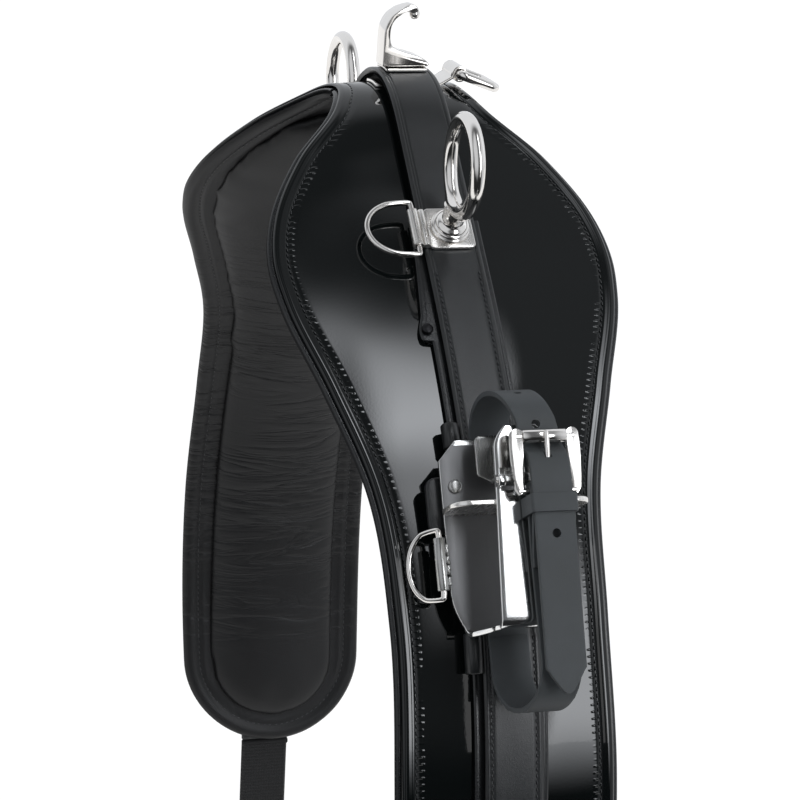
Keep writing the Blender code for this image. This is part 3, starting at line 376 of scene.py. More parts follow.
def bevelEdges(piece, width, segments, angle):
    angle = math.radians(angle)
    shapeWith(piece, "BEVEL", width=width, segments=segments, limit_method="ANGLE", angle_limit=angle)


def thicken(piece, thickness):
    shapeWith(piece, "SOLIDIFY", thickness=thickness, offset=-1)


def addPiece(operator, **settings):
    onlySelect(None)
    operator(**settings)
    return bpy.context.active_object


def editAll(piece, *operators):
    onlySelect(piece)
    bpy.ops.object.mode_set(mode="EDIT")
    bpy.ops.mesh.select_all(action="SELECT")
    for operator, settings in operators:
        operator(**settings)
    bpy.ops.object.mode_set(mode="OBJECT")


outward = (bpy.ops.mesh.normals_make_consistent, {"inside": False})
flipped = (bpy.ops.mesh.flip_normals, {})
turnX, turnY = (Matrix.Rotation(math.pi / 2, 4, axis) for axis in "XY")


def shift(x=0, y=0, z=0):
    return Matrix.Translation((x, y, z))


# A piece moved by several matrices, of which the last acts first
def moved(piece, *moves):
    place = Matrix.Identity(4)
    for move in moves:
        place = place @ move
    piece.data.transform(place)
    return piece


# The same for moves in millimetres, then set at a place in metres
def settle(piece, place, *moves):
    return moved(piece, place @ Matrix.Scale(mm, 4), *moves)


def joinPieces(first, *others):
    onlySelect(first)
    for other in others:
        other.select_set(True)
    bpy.ops.object.join()
    return first


# A record of how far along and across the leather each point lies, for patterns that follow it
def setFlow(piece, along, across):
    for layer in list(piece.data.uv_layers):
        piece.data.uv_layers.remove(layer)
    layer = piece.data.uv_layers.new(name="flow")
    corners = np.empty(len(piece.data.loops), int)
    piece.data.loops.foreach_get("vertex_index", corners)
    layer.data.foreach_set("uv", np.stack([along[corners], across[corners]], axis=1).ravel())


# A grid of leather or sheet metal: x, y and z are tables of rows and columns in millimetres
def gridPiece(name, x, y, z, along=None, across=None):
    rows, columns = x.shape
    piece = addPiece(bpy.ops.mesh.primitive_grid_add, x_subdivisions=columns - 1, y_subdivisions=rows - 1, size=2)
    piece.name = name
    flat = pointsOf(piece)
    column = np.rint((flat[:, 0] + 1) / 2 * (columns - 1)).astype(int)
    row = np.rint((flat[:, 1] + 1) / 2 * (rows - 1)).astype(int)
    movePoints(piece, np.stack([x[row, column], y[row, column], z[row, column]], axis=1))
    along = y if along is None else along
    across = x if across is None else across
    setFlow(piece, along[row, column] * mm, across[row, column] * mm)
    return piece


# The same on the near side, from tables that run down from the ridge
def nearGrid(name, x, y, z, across=None):
    across = x if across is None else across
    return gridPiece(name, x[::-1], -y[::-1], z[::-1], y[::-1], across[::-1])


def layOnBack(piece):
    movePoints(piece, onBack(pointsOf(piece)))
    return piece


# A plate with a drawn outline in x and y, bevelled all round
def cutOut(name, outline, low, high, bevel=0.4, segments=3):
    piece = addPiece(bpy.ops.mesh.primitive_circle_add, vertices=len(outline), radius=1, fill_type="NGON")
    piece.name = name
    movePoints(piece, [(x, y, low) for x, y in outline])
    editAll(
        piece,
        (bpy.ops.mesh.extrude_region_move, {"TRANSFORM_OT_translate": {"value": (0, 0, high - low)}}),
        (bpy.ops.mesh.select_all, {"action": "SELECT"}),
        outward,
    )
    if bevel:
        bevelEdges(piece, bevel, segments, 40)
    return piece


# A profile of radius and height turned round z
def turnedPiece(name, profile, steps=48, closed=False):
    piece = addPiece(bpy.ops.mesh.primitive_circle_add, vertices=len(profile), radius=1)
    piece.name = name
    movePoints(piece, [(radius, 0, height) for radius, height in profile])
    if not closed:
        ends = {0, len(profile) - 1}
        bpy.ops.object.mode_set(mode="EDIT")
        bpy.ops.mesh.select_mode(type="EDGE")
        bpy.ops.mesh.select_all(action="DESELECT")
        bpy.ops.object.mode_set(mode="OBJECT")
        for edge in piece.data.edges:
            edge.select = set(edge.vertices) == ends
        bpy.ops.object.mode_set(mode="EDIT")
        bpy.ops.mesh.delete(type="EDGE_FACE")
        bpy.ops.mesh.select_mode(type="VERT")
        bpy.ops.object.mode_set(mode="OBJECT")
    settings = {"steps": steps, "render_steps": steps, "use_merge_vertices": True, "merge_threshold": 0.001}
    shapeWith(piece, "SCREW", angle=2 * math.pi, **settings)
    editAll(piece, (bpy.ops.mesh.remove_doubles, {"threshold": 0.001}), outward)
    return piece


# A tube whose ends are chamfered outside
def tubePiece(name, bore, radius, length, chamfer, drop, steps):
    half = length / 2
    profile = [(bore, -half), (radius - chamfer, -half), (radius, drop - half)]
    profile += [(radius, half - drop), (radius - chamfer, half), (bore, half)]
    return turnedPiece(name, profile, steps, closed=True)


def smoothPath(points, count, closed=False):
    points = [Vector(p) for p in points]
    if closed:
        ring = points[-1:] + points + points[:2]
    else:
        ring = [points[0] * 2 - points[1]] + points + [points[-1] * 2 - points[-2]]
    made = []
    for a, b, c, d in zip(ring, ring[1:], ring[2:], ring[3:]):
        for u in (k / count for k in range(count)):
            bend = (2 * a - 5 * b + 4 * c - d) * u ** 2 + (3 * b - 3 * c + d - a) * u ** 3
            made.append(0.5 * (2 * b + (c - a) * u + bend))
    return made if closed else made + [points[-1]]


# Round wire along a path
def wirePiece(name, path, radius, closed=False, sides=6, tapers=None):
    data = bpy.data.curves.new(name, "CURVE")
    data.dimensions = "3D"
    data.bevel_depth = radius
    data.bevel_resolution = sides
    data.use_fill_caps = not closed
    spline = data.splines.new("POLY")
    spline.points.add(len(path) - 1)
    for i, (point, spot) in enumerate(zip(spline.points, path)):
        point.co = (*spot, 1)
        point.radius = tapers[i] if tapers else 1
    spline.use_cyclic_u = closed
    piece = bpy.data.objects.new(name, data)
    bpy.context.scene.collection.objects.link(piece)
    onlySelect(piece)
    bpy.ops.object.convert(target="MESH")
    piece = bpy.context.active_object
    editAll(piece, (bpy.ops.mesh.remove_doubles, {"threshold": 0.0005}), outward)
    return piece


# A strip bent along a path of (up, out), with its half width and sideways shift at each point
def bentStrip(name, path, halves, shifts, thickness, columns=9, bevel=0.4, segments=2):
    path = np.asarray(path, float)
    halves, shifts = np.asarray(halves, float), np.asarray(shifts, float)
    spread = np.linspace(-1, 1, columns)
    x = shifts[:, None] + halves[:, None] * spread[None, :]
    y = np.repeat(path[:, :1], columns, axis=1)
    z = np.repeat(path[:, 1:], columns, axis=1)
    along = np.append(0, np.cumsum(np.hypot(*np.diff(path, axis=0).T)))
    piece = gridPiece(name, x, y, z, np.repeat(along[:, None], columns, axis=1))
    shapeWith(piece, "SOLIDIFY", thickness=thickness, offset=0, use_even_offset=True)
    if bevel:
        bevelEdges(piece, bevel, segments, 50)
    return piece


def cutAway(piece, cutter):
    shapeWith(piece, "BOOLEAN", object=cutter, operation="DIFFERENCE", solver="EXACT")
    bpy.data.objects.remove(cutter)
    return piece


# A hole punched by a rod of radius and height 1, set by the moves
def punchHole(piece, sides, *moves):
    rod = addPiece(bpy.ops.mesh.primitive_cylinder_add, vertices=sides, radius=1, depth=1)
    cutAway(piece, moved(rod, *moves))


def mirrorOf(piece):
    onlySelect(piece)
    bpy.ops.object.duplicate()
    twin = bpy.context.active_object
    twin.name = piece.name.replace("near", "far")
    movePoints(twin, pointsOf(twin) * (1, -1, 1))
    editAll(twin, flipped)
    return twin


def finishPiece(piece, finish, body, slot, *nodes, smooth=35):
    piece.data.materials.clear()
    piece.data.materials.append(finishes[finish])
    onlySelect(piece)
    bpy.ops.object.shade_smooth_by_angle(angle=math.radians(smooth))
    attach(piece, body)
    if nodes:
        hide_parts(*nodes)
    return piece


# A near piece and its mirror image on the far side
def finishPair(piece, finish, slot, part=None, moving=None, smooth=35):
    twin = mirrorOf(piece)
    for side, made in (("near", piece), ("far", twin)):
        body = f"{side}_{moving}" if moving else "saddle"
        finishPiece(made, finish, body, slot, *([f"{side}_{part}"] if part else []), smooth=smooth)
    return piece, twin


# Rows of stitches: one stitch is made and copied along a line of flat points, at one height above the back
def stitchRow(name, line, height, size, pitch, slant):
    one = addPiece(bpy.ops.mesh.primitive_uv_sphere_add, segments=6, ring_count=5, radius=0.5)
    shape = pointsOf(one) * size
    faces = [tuple(face.vertices) for face in one.data.polygons]
    bpy.data.objects.remove(one)
    path = np.column_stack([line, np.full(len(line), height)])
    lengths = np.append(0, np.cumsum(np.linalg.norm(np.diff(path, axis=0), axis=1)))
    spots = np.arange(pitch / 2, lengths[-1], pitch)

    def pathAt(marks):
        return np.stack([np.interp(marks, lengths, path[:, k]) for k in range(3)], axis=1)

    forward = pathAt(spots + 0.5) - pathAt(spots - 0.5)
    forward /= np.linalg.norm(forward, axis=1)[:, None]
    sideways = np.stack([-forward[:, 1], forward[:, 0], np.zeros(len(spots))], axis=1)
    run, beside = spun(forward, sideways, math.radians(slant))
    turns = np.stack([run, beside, np.cross(run, beside)], axis=1)
    points = (pathAt(spots)[:, None] + shape @ turns).reshape(-1, 3)
    data = bpy.data.meshes.new(name)
    copies = [tuple(i + k * len(shape) for i in face) for k in range(len(spots)) for face in faces]
    data.from_pydata(points, [], copies)
    made = bpy.data.objects.new(name, data)
    bpy.context.scene.collection.objects.link(made)
    return layOnBack(made)


# The skirt's and panels' rear and front outlines, between the near tip and the far tip
def outlineOf(outset):
    tip = np.sin(np.linspace(0, 1, 260) * math.pi / 2) * (back["round"] + outset) + tipStart
    half = np.append(np.arange(0, tipStart, 1.0), tip)
    along = np.append(-half[:0:-1], half)
    rear, front = (np.stack([shiftAt(along) + k * halfAt(along, outset), along], axis=1) for k in (1, -1))
    return rear, front[::-1]


def insetLine(outset, inset, start, end, edge):
    line = outlineOf(outset)[edge]
    tangent = np.gradient(line, axis=0)
    tangent /= np.linalg.norm(tangent, axis=1)[:, None] + 1e-9
    inner = line + np.stack([-tangent[:, 1], tangent[:, 0]], axis=1) * inset
    return inner[(inner[:, 1] > start) & (inner[:, 1] < end)]


def edgeDistance(x, along, outset):
    ring = np.concatenate(outlineOf(outset))
    tree = KDTree(len(ring))
    for i, (a, b) in enumerate(ring):
        tree.insert((a, b, 0), i)
    tree.balance()
    return np.array([tree.find((a, b, 0))[2] for a, b in zip(x.ravel(), along.ravel())]).reshape(x.shape)


def edgeRows(start, outset=0.0):
    tip = tipStart + (back["round"] + outset) * np.sin(np.radians(np.linspace(0, 88, 26)[1:]))
    return np.append(np.arange(start, tipStart, 3.0), tip)


def acrossRows(along, x):
    return np.repeat(along[:, None], x.shape[1], axis=1)


# A grid over a panel, with its columns close together near the edges, and each point's distance from the edge
def edgeGrid(along, marks, outset=0.0):
    straight = edgeAt(np.abs(along)) + outset
    shares = [1 - mark / straight for mark in marks]
    shares += [shares[-1] * (1 - inner) for inner in np.linspace(0, 1, 9)[1:-1]]
    left = -np.stack(shares, axis=1) * halfAt(along, outset)[:, None]
    x = np.concatenate([left, np.zeros((len(along), 1)), -left[:, ::-1]], axis=1) + shiftAt(along)[:, None]
    y = acrossRows(along, x)
    return x, y, edgeDistance(x, y, outset)


# A rolled edge's thickness can bulge past the outline, so its points are drawn back onto it
def keepInside(piece, outset):
    points = pointsOf(piece)
    along = np.abs(points[:, 1])
    reach, half = back["round"] + outset, edgeAt(along) + outset
    over = np.clip((along - tipStart) / reach, 0, None)
    wide = (points[:, 0] - shiftAt(along)) / half
    size = np.maximum(1, np.hypot(wide, over))
    points[:, 0] = shiftAt(along) + wide / size * half
    points[:, 1] = np.sign(points[:, 1]) * np.where(along > tipStart, tipStart + over / size * reach, along)
    movePoints(piece, points)


patentSkirt = {
    "sheet": 1.4, "crown": 1.1, "rim": 0.9, "seam": 7.2, "seamDepth": 0.45, "stitch": (2.5, 0.8, 0.7), "pitch": 3.4,
    "marks": (0, 0.25, 0.7, 1.2, 1.6, 2, 2.6, 3.6, 4.2, 4.6, 5, 5.6, 6.4, 6.8, 7.2, 7.6, 8.4, 10, 13, 18),
}
seamEnd = 566


def makeSkirt():
    rows = edgeRows(0)
    x, y, distance = edgeGrid(np.append(-rows[:0:-1], rows), patentSkirt["marks"])
    share = unit(np.abs(x - shiftAt(y)) / edgeAt(np.abs(y)))
    z = levels["skirt"] - patentSkirt["crown"] * unit(share - 0.3) ** 2 / 0.49
    z -= patentSkirt["rim"] * (1 - unit(distance / 1.4)) ** 2
    z += 0.3 * bell(distance, 2.6, 1.6) - 0.15 * bell(distance, 1.6, 0.35)
    z -= patentSkirt["seamDepth"] * bell(distance, patentSkirt["seam"], 0.8)
    piece = gridPiece("patentSkirtTop", x, y, z, y, distance)
    thicken(piece, patentSkirt["sheet"])
    keepInside(piece, 0)
    layOnBack(piece)
    finishPiece(piece, "patent", "saddle", "patent_leather", "patent_skirt", smooth=60)
    height = levels["skirt"] - patentSkirt["crown"] * 0.72 - 0.12
    for k, edge in enumerate(("rear", "front")):
        line = insetLine(0, patentSkirt["seam"], -seamEnd, seamEnd, k)
        row = stitchRow(f"skirtStitches_{edge}", line, height, patentSkirt["stitch"], patentSkirt["pitch"], 10)
        finishPiece(row, "thread", "saddle", "strap_leather", smooth=60)


makeSkirt()
print("skirt made")

panel = {
    "outset": 2.5, "rim": 5.0, "seam": 9.5, "padInset": 15.5, "padHeight": 14.0, "topInset": 34,
    "voxel": 0.0036, "pressure": 4.0, "frames": 20, "cap": 0.004, "stitch": (2.4, 0.7, 0.6), "pitch": 3.6,
    "marks": (0, 0.3, 0.9, 1.8, 3, 4.4, 6, 7.4, 8.6, 9.5, 10.4, 11.6, 13.5, 16, 20),
}


def makePanelRim():
    outset = panel["outset"]
    x, y, distance = edgeGrid(edgeRows(2, outset), panel["marks"], outset)
    low = -0.5 - panel["rim"] + 1.9 * (1 - unit(distance / 2.2)) ** 2 - 0.5 * bell(distance, 4.6, 2.6)
    low += 0.9 * bell(distance, panel["seam"], 1.3) + 0.7 * bell(distance, 15.2, 1.6)
    top = -0.4 - 0.8 * (1 - unit(distance / 1.2)) ** 2
    rim = nearGrid("near_panelRim", x, y, low, distance)
    editAll(rim, flipped)
    welt = nearGrid("near_panelWelt", x, y, top, distance)
    for sheet, thickness in ((rim, 2.6), (welt, 2.0)):
        thicken(sheet, thickness)
        keepInside(sheet, outset)
        layOnBack(sheet)
    finishPair(rim, "lining", "lining_leather", "panel", smooth=60)
    finishPair(welt, "edge", "lining_leather", smooth=60)
    height = 0.25 - panel["rim"]
    for k, edge in enumerate(("rear", "front")):
        line = insetLine(outset, panel["seam"], -seamEnd, -6, k)
        row = stitchRow(f"near_liningStitches_{edge}", line, height, panel["stitch"], panel["pitch"], 8)
        finishPair(row, "thread", "strap_leather", smooth=60)


# The padded lining: sewn round the rim's groove and blown up by a cloth simulation
def makePad():
    inset, start = panel["padInset"], panel["topInset"]
    reach = back["round"] + panel["outset"] - inset
    tip = tipStart + reach * np.sin(np.radians(np.linspace(0, 86, 12)))
    along = np.append(np.arange(start, tipStart - 2, 5.0), tip)
    over = np.clip((along - tipStart) / reach, 0, 0.9976)
    opened = np.clip((along - start) / 22, 0.02, 1)
    half = (edgeAt(along) + panel["outset"] - inset) * np.sqrt(1 - over ** 2) * np.sqrt(1 - (1 - opened) ** 2 * 0.75)
    spread = np.sin(np.linspace(-1, 1, 25) * math.pi / 2)
    x = shiftAt(along)[:, None] + half[:, None] * spread
    dome = np.sqrt(unit(1 - np.abs(spread) ** 5))
    ends = unit((along - start) / 14) * unit((tipStart + reach - along) / 12)
    depth = (panel["padHeight"] - 4.5) * dome * np.sqrt(unit(1 - (1 - ends[:, None]) ** 2))
    piece = nearGrid("near_panelPad", x, acrossRows(along, x), -panel["rim"] - depth)
    editAll(piece, flipped)
    # close it with a flat back that lies on the rim
    count = len(piece.data.vertices)
    editAll(piece, (bpy.ops.mesh.extrude_region_move, {"TRANSFORM_OT_translate": {"value": (0, 0, 0)}}))
    points = pointsOf(piece)
    points[:count, 2] = -panel["rim"] + 1.4
    movePoints(piece, points * mm)
    editAll(piece, outward)
    piece.data.uv_layers.remove(piece.data.uv_layers[0])
    shapeWith(piece, "REMESH", mode="VOXEL", voxel_size=panel["voxel"])
    swell(piece)
    shapeWith(piece, "SMOOTH", factor=0.5, iterations=14)
    shapeWith(piece, "SUBSURF", levels=1, render_levels=1)
    points = pointsOf(piece) / mm
    movePoints(piece, points)
    setFlow(piece, np.abs(points[:, 1]) * mm, points[:, 0] * mm)
    layOnBack(piece)
    for made in finishPair(piece, "lining", "lining_leather", "panel", smooth=60):
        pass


def swell(piece):
    before = pointsOf(piece)
    held = [int(i) for i in np.nonzero(before[:, 2] > (-panel["rim"] - 1.2) * mm)[0]]
    group = piece.vertex_groups.new(name="sewn")
    group.add(held, 1.0, "REPLACE")
    onlySelect(piece)
    cloth = piece.modifiers.new("cloth", "CLOTH")
    settings = cloth.settings
    settings.use_pressure = True
    settings.uniform_pressure_force = panel["pressure"]
    settings.effector_weights.gravity = 0
    settings.vertex_group_mass = "sewn"
    settings.quality = 5
    settings.mass = 0.2
    settings.tension_stiffness = 15
    settings.bending_stiffness = 0.5
    cloth.collision_settings.use_collision = False
    cloth.point_cache.frame_start = 1
    cloth.point_cache.frame_end = panel["frames"]
    for number in range(1, panel["frames"] + 1):
        bpy.context.scene.frame_set(number)
    shown = piece.evaluated_get(bpy.context.evaluated_depsgraph_get())
    after = np.empty(len(before) * 3)
    shown.data.vertices.foreach_get("co", after)
    swelled = after.reshape(-1, 3) - before
    far = np.linalg.norm(swelled, axis=1)
    swelled *= np.minimum(1, panel["cap"] / np.maximum(far, 1e-9))[:, None]
    piece.modifiers.remove(cloth)
    bpy.context.scene.frame_set(1)
    movePoints(piece, before + swelled)
    print("pad swelled, most", round(float(far.max()) / mm, 1), "mm")


makePanelRim()
makePad()
print("panels made")

strap = {
    "half": 15, "thickness": 4, "end": 572, "rows": 383, "seamInset": 3.6, "seamStart": 136, "creaseEnd": 142,
    "stitch": (2.5, 1.0, 1.0), "pitch": 3.3, "creases": (-12.4, -11.0, 12.2),
}


def makeMainStrap():
    half, seam = strap["half"], strap["half"] - strap["seamInset"]
    along = np.linspace(-strap["end"], strap["end"], strap["rows"])
    beside = (crease + away for crease in strap["creases"] for away in (-0.6, -0.3, 0, 0.3, 0.6))
    y, x = np.meshgrid(along, sorted({*np.linspace(-half, half, 31), *beside}), indexing="ij")
    z = levels["strap"] - 0.9 * unit((np.abs(x) - 13.6) / 1.4) ** 2.2
    fade = unit((strap["creaseEnd"] - np.abs(y)) / 6)
    for crease in strap["creases"]:
        z -= 0.4 * bell(x, crease, 0.35) * (fade if crease > -12 else 1)
    z -= 0.5 * bell(np.abs(x), seam, 0.7) * unit((np.abs(y) - strap["seamStart"]) / 4)
    z += 0.25 * np.sin(y / 61 + x / 19) * unit(1 - np.abs(x) / half)
    piece = gridPiece("mainStrapTop", x, y, z, y, x)
    thicken(piece, strap["thickness"])
    bevelEdges(piece, 0.5, 2, 60)
    layOnBack(piece)
    finishPiece(piece, "strap", "saddle", "strap_leather", "main_strap", smooth=50)
    reach = np.arange(strap["seamStart"] + 2, seamEnd, 2.0)
    for name, side in (("near", -1), ("far", 1)):
        for edge, place in (("front", -1), ("rear", 1)):
            line = np.column_stack([np.full(len(reach), place * seam), reach * side])
            rowName = f"{name}_strapStitches_{edge}"
            row = stitchRow(rowName, line, levels["strap"] - 0.25, strap["stitch"], strap["pitch"], 8)
            finishPiece(row, "thread", "saddle", "strap_leather", smooth=60)


backing = {
    "half": 19, "thickness": 2.8, "start": 104, "end": 566, "tabEnd": 176, "cut": 6, "cutLength": 14,
    "front": (
        (104, 18), (130, 19.5), (150, 21.4), (162, 22.6), (168, 24.6), (172, 25), (175, 24.4), (175.9, 23.4), (176, 19),
    ),
}


def makeBacking():
    along = np.append(np.arange(backing["start"], backing["end"], 2.5), backing["end"])
    along = np.unique(np.append(along, backing["tabEnd"] - np.array([0.1, 0.5, 1, 2])))
    # the end is rounded off, under the panel's tip
    over = unit((along - backing["end"] + backing["cutLength"]) / backing["cutLength"])
    ease = backing["cut"] * (1 - np.sqrt(1 - over ** 2))
    left, right = ease - np.interp(along, *np.array(backing["front"]).T), backing["half"] - ease
    edge = np.linspace(0, 1, 7) * 0.1
    spread = np.unique(np.round([*edge, *np.linspace(0.1, 0.9, 9), *(1 - edge)], 4))
    x = left[:, None] + (right - left)[:, None] * spread
    inward = np.minimum(x - left[:, None], right[:, None] - x)
    z = levels["backing"] - 0.7 * (1 - unit(inward)) ** 2 - 0.25 * bell(inward, 1.9, 0.35)
    piece = nearGrid("near_strapBacking", x, acrossRows(along, x), z)
    thicken(piece, backing["thickness"])
    layOnBack(piece)
    finishPair(piece, "edge", "strap_leather", "strap_backing", smooth=50)


stud = {"along": 170, "forward": 21, "shank": 2, "low": 3.3, "head": 3, "height": 2.4}


def makeStud():
    base, head, shank = levels["backing"] + gap, stud["head"], stud["shank"]
    brim, dome = base + 1.1, stud["height"] - 1.1
    profile = [(0, stud["low"]), (shank, stud["low"]), (shank, base), (head - 0.3, base), (head, base + 0.5)]
    profile += [(head * math.cos(a), brim + dome * math.sin(a)) for a in (0, 0.5, 0.9, 1.25)] + [(0, brim + dome)]
    piece = turnedPiece("near_strapStud", profile, 24)
    settle(piece, nearPlace(stud["along"], 0), shift(-stud["forward"]))
    finishPair(piece, "dark", "tree_steel", "strap_stud")


rolledLoop = {"upper": (231, 13), "lower": (337, 20), "radius": 4.5, "wall": 1.8}


def makeRolledLoops():
    outer = rolledLoop["radius"]
    inner = outer - rolledLoop["wall"]
    for name in ("upper", "lower"):
        along, length = rolledLoop[name]
        half = length / 2
        profile = [(inner + 0.3, -half), (outer - 0.6, -half), (outer, -half + 0.7), (outer, 0), (outer, half - 0.7)]
        profile += [(outer - 0.6, half), (inner + 0.3, half), (inner, half - 0.4), (inner, -half + 0.4)]
        piece = turnedPiece(f"near_{name}Loop", profile, 40, closed=True)
        points = pointsOf(piece)
        turn = np.arctan2(points[:, 1], points[:, 0])
        points[:, :2] *= (1 + 0.06 * bell(turn, 2.2, 0.25))[:, None]  # the leather's overlapped end
        movePoints(piece, points)
        seat = nearPlace(along, levels["backing"] + gap + outer)
        settle(piece, seat, shift(-strap["half"] - gap - outer), turnX)
        finishPair(piece, "strap", "strap_leather", f"{name}_loop", smooth=50)


billet = {
    "along": 574.3, "out": 8.8, "half": 15, "thickness": 3.8, "length": 200, "tip": 14,
    "first": 30, "pitch": 25, "holes": 5, "hole": 2.25, "roll": 2,
}


def makeBillet():
    half, low, roll = billet["half"], -billet["length"], billet["roll"]
    tip = low + billet["tip"]
    rows = np.concatenate([np.linspace(low, tip, 9), np.arange(tip + 2, -1.5, 2.0), [-0.9, 0]])
    reach = math.pi / 2 * 0.98
    spread = np.sin(np.linspace(-1, 1, 19) * reach) / math.sin(reach)
    x = np.interp(rows, [low, tip, 0], [half * 0.35, half, half])[:, None] * spread
    z = billet["thickness"] / 2 - 0.5 * unit((np.abs(x) - 13.4) / 1.6) ** 2
    piece = gridPiece("near_billetWebbing", x, acrossRows(rows, x), z)
    thicken(piece, billet["thickness"])
    bevelEdges(piece, 0.7, 3, 60)
    for k in range(billet["holes"]):
        spot = shift(0, low + billet["first"] + k * billet["pitch"])
        punchHole(piece, 20, spot, Matrix.Diagonal((billet["hole"], billet["hole"], 12, 1)))
    profile = [(0, -half), (roll - 0.4, -half), (roll, 0.4 - half), (roll, half - 0.4), (roll - 0.4, half), (0, half)]
    joinPieces(piece, moved(turnedPiece("billetRoll", profile, 24), turnY))
    settle(piece, nearPlace(billet["along"], billet["out"], 90))
    finishPair(piece, "webbing", "billet_webbing", "billet", "billet", smooth=50)


makeMainStrap()
makeBacking()
makeStud()
makeRolledLoops()
makeBillet()
print("straps made")

hook = {
    "front": -13, "width": 14, "tipWidth": 6, "ball": (18.5, 27.2, 2.9), "plate": 1.6,
    "outer": (
        (0, 0), (0.15, 6), (0.25, 12), (0.5, 18), (1.5, 22.6), (4.2, 27), (8.2, 30), (12, 32), (14.6, 32.9), (17, 32.7),
        (19.4, 31), (20.4, 28.6),
    ),
    "inner": (
        (16.6, 27.6), (14, 28.7), (11.5, 28.4), (8.4, 27), (5.9, 24.6), (4.4, 21.5), (3.9, 17.5), (4.1, 13.6),
        (5.3, 10.9), (8, 9), (12.5, 7.4), (18, 5.9), (21.6, 4.7), (24.4, 3.1), (25.8, 1.7), (26, 0.8), (25.2, 0),
    ),
}


def arcPoints(centre, radius, start, end, count):
    turns = np.radians(np.linspace(start, end, count))
    return [(centre[0] + radius * math.cos(a), centre[1] + radius * math.sin(a)) for a in turns]


def makeHook():
    front = hook["front"]
    curves = [smoothPath([(front + x, up, 0) for x, up in hook[key]], 4) for key in ("outer", "inner")]
    outline = [(p.x, p.y) for curve in curves for p in curve]
    piece = cutOut("bearingReinHook", outline, -0.5, 0.5, bevel=0)
    points = pointsOf(piece)
    share = unit((points[:, 0] - front - 8) / 9) * (points[:, 1] > 20)
    share = share * share * (3 - 2 * share)
    width = hook["width"] + (hook["tipWidth"] - hook["width"]) * share
    toe = unit((points[:, 0] - front - 20) / 6) * (points[:, 1] < 12)
    points[:, 2] *= width * (1 - 0.1 * toe ** 2)
    movePoints(piece, points)
    editAll(piece, outward)
    bevelEdges(piece, 0.9, 4, 50)
    ballX, ballUp, ballRadius = hook["ball"]
    ball = addPiece(bpy.ops.mesh.primitive_uv_sphere_add, segments=32, ring_count=18, radius=ballRadius)
    joinPieces(piece, moved(ball, shift(front + ballX, ballUp)))
    moved(piece, turnX)
    joinPieces(piece, turnedPiece("hookShank", [(0, -19.4), (2.2, -19.4), (2.5, -19), (2.5, 1.6), (0, 1.6)], 24))
    settle(piece, shift(*onBack((0, 0, levels["plate"] + hook["plate"] + gap))[0]))
    finishPiece(piece, "steel", "saddle", "polished_steel", "water_hook", smooth=40)
    x, y = np.meshgrid(np.linspace(-11.5, 11.5, 15), np.linspace(-7.5, 7.5, 11))
    plate = gridPiece("hookBase", x, y, np.full(x.shape, levels["plate"] + hook["plate"]))
    thicken(plate, hook["plate"])
    bevelEdges(plate, 0.45, 3, 60)
    layOnBack(plate)
    finishPiece(plate, "steel", "saddle", "polished_steel", "hook_plate", smooth=40)


clip = {
    "half": 9.5, "sheet": 1.6, "front": -17, "eyeOut": 29.8, "eyeUp": 1.7, "bore": 2.8,
    "loop": (31, 23.5), "wire": 2.5, "droop": 20,
}


def makeClip():
    under = levels["skirt"] + gap
    low = back["ridge"] + under
    reach = clip["bore"] + clip["sheet"] / 2
    level = low + clip["sheet"] / 2
    eyeUp = low + clip["bore"] + clip["sheet"] + clip["eyeUp"]
    path = [(x, level) for x in np.linspace(clip["front"], 15, 17)]
    path += [(19.5, level + 0.25), (clip["eyeOut"] - reach * 1.12, eyeUp - reach * 0.5)]
    path += arcPoints((clip["eyeOut"], eyeUp), reach, 178, -118, 26)
    halves = [clip["half"] - 0.8 * max(0, 1 - k / 2) for k in range(len(path))]
    piece = bentStrip("crupperClipSheet", path, halves, [0] * len(path), clip["sheet"], 11, 0.35)
    points = pointsOf(piece)[:, (1, 0, 2)]
    # the flat end follows the ridge
    zero = np.zeros(len(points))
    fall = onBack((0, 0, under))[0, 2] - onBack(np.column_stack([zero, points[:, 1], zero + under]))[:, 2]
    points[:, 2] -= fall / mm * (1 - unit((points[:, 0] - 15) / 9))
    movePoints(piece, points)
    editAll(piece, outward)
    settle(piece, shift())
    finishPiece(piece, "steel", "saddle", "polished_steel", "crupper_clip", smooth=40)
    wire = clip["wire"]
    half, far = clip["loop"][0] / 2 - wire, clip["loop"][1] - wire
    corners = arcPoints((far - 3.5, half - 3.5), 3.5, 90, 0, 8)[:-1]
    corners += arcPoints((far - 3.5, 3.5 - half), 3.5, 0, -90, 8)
    corners += arcPoints((3, 3 - half), 3, 270, 180, 7) + arcPoints((3, half - 3), 3, 180, 90, 7)
    ring = wirePiece("crupperLoopWire", [(x, y, 0) for x, y in corners], wire, closed=True, sides=8)
    settle(ring, shift(), shift(clip["eyeOut"], 0, eyeUp), Matrix.Rotation(math.radians(clip["droop"]), 4, "Y"))
    finishPiece(ring, "steel", "crupper_loop", "polished_steel", "crupper_loop", smooth=60)


makeHook()
makeClip()
print("hook and crupper clip made")

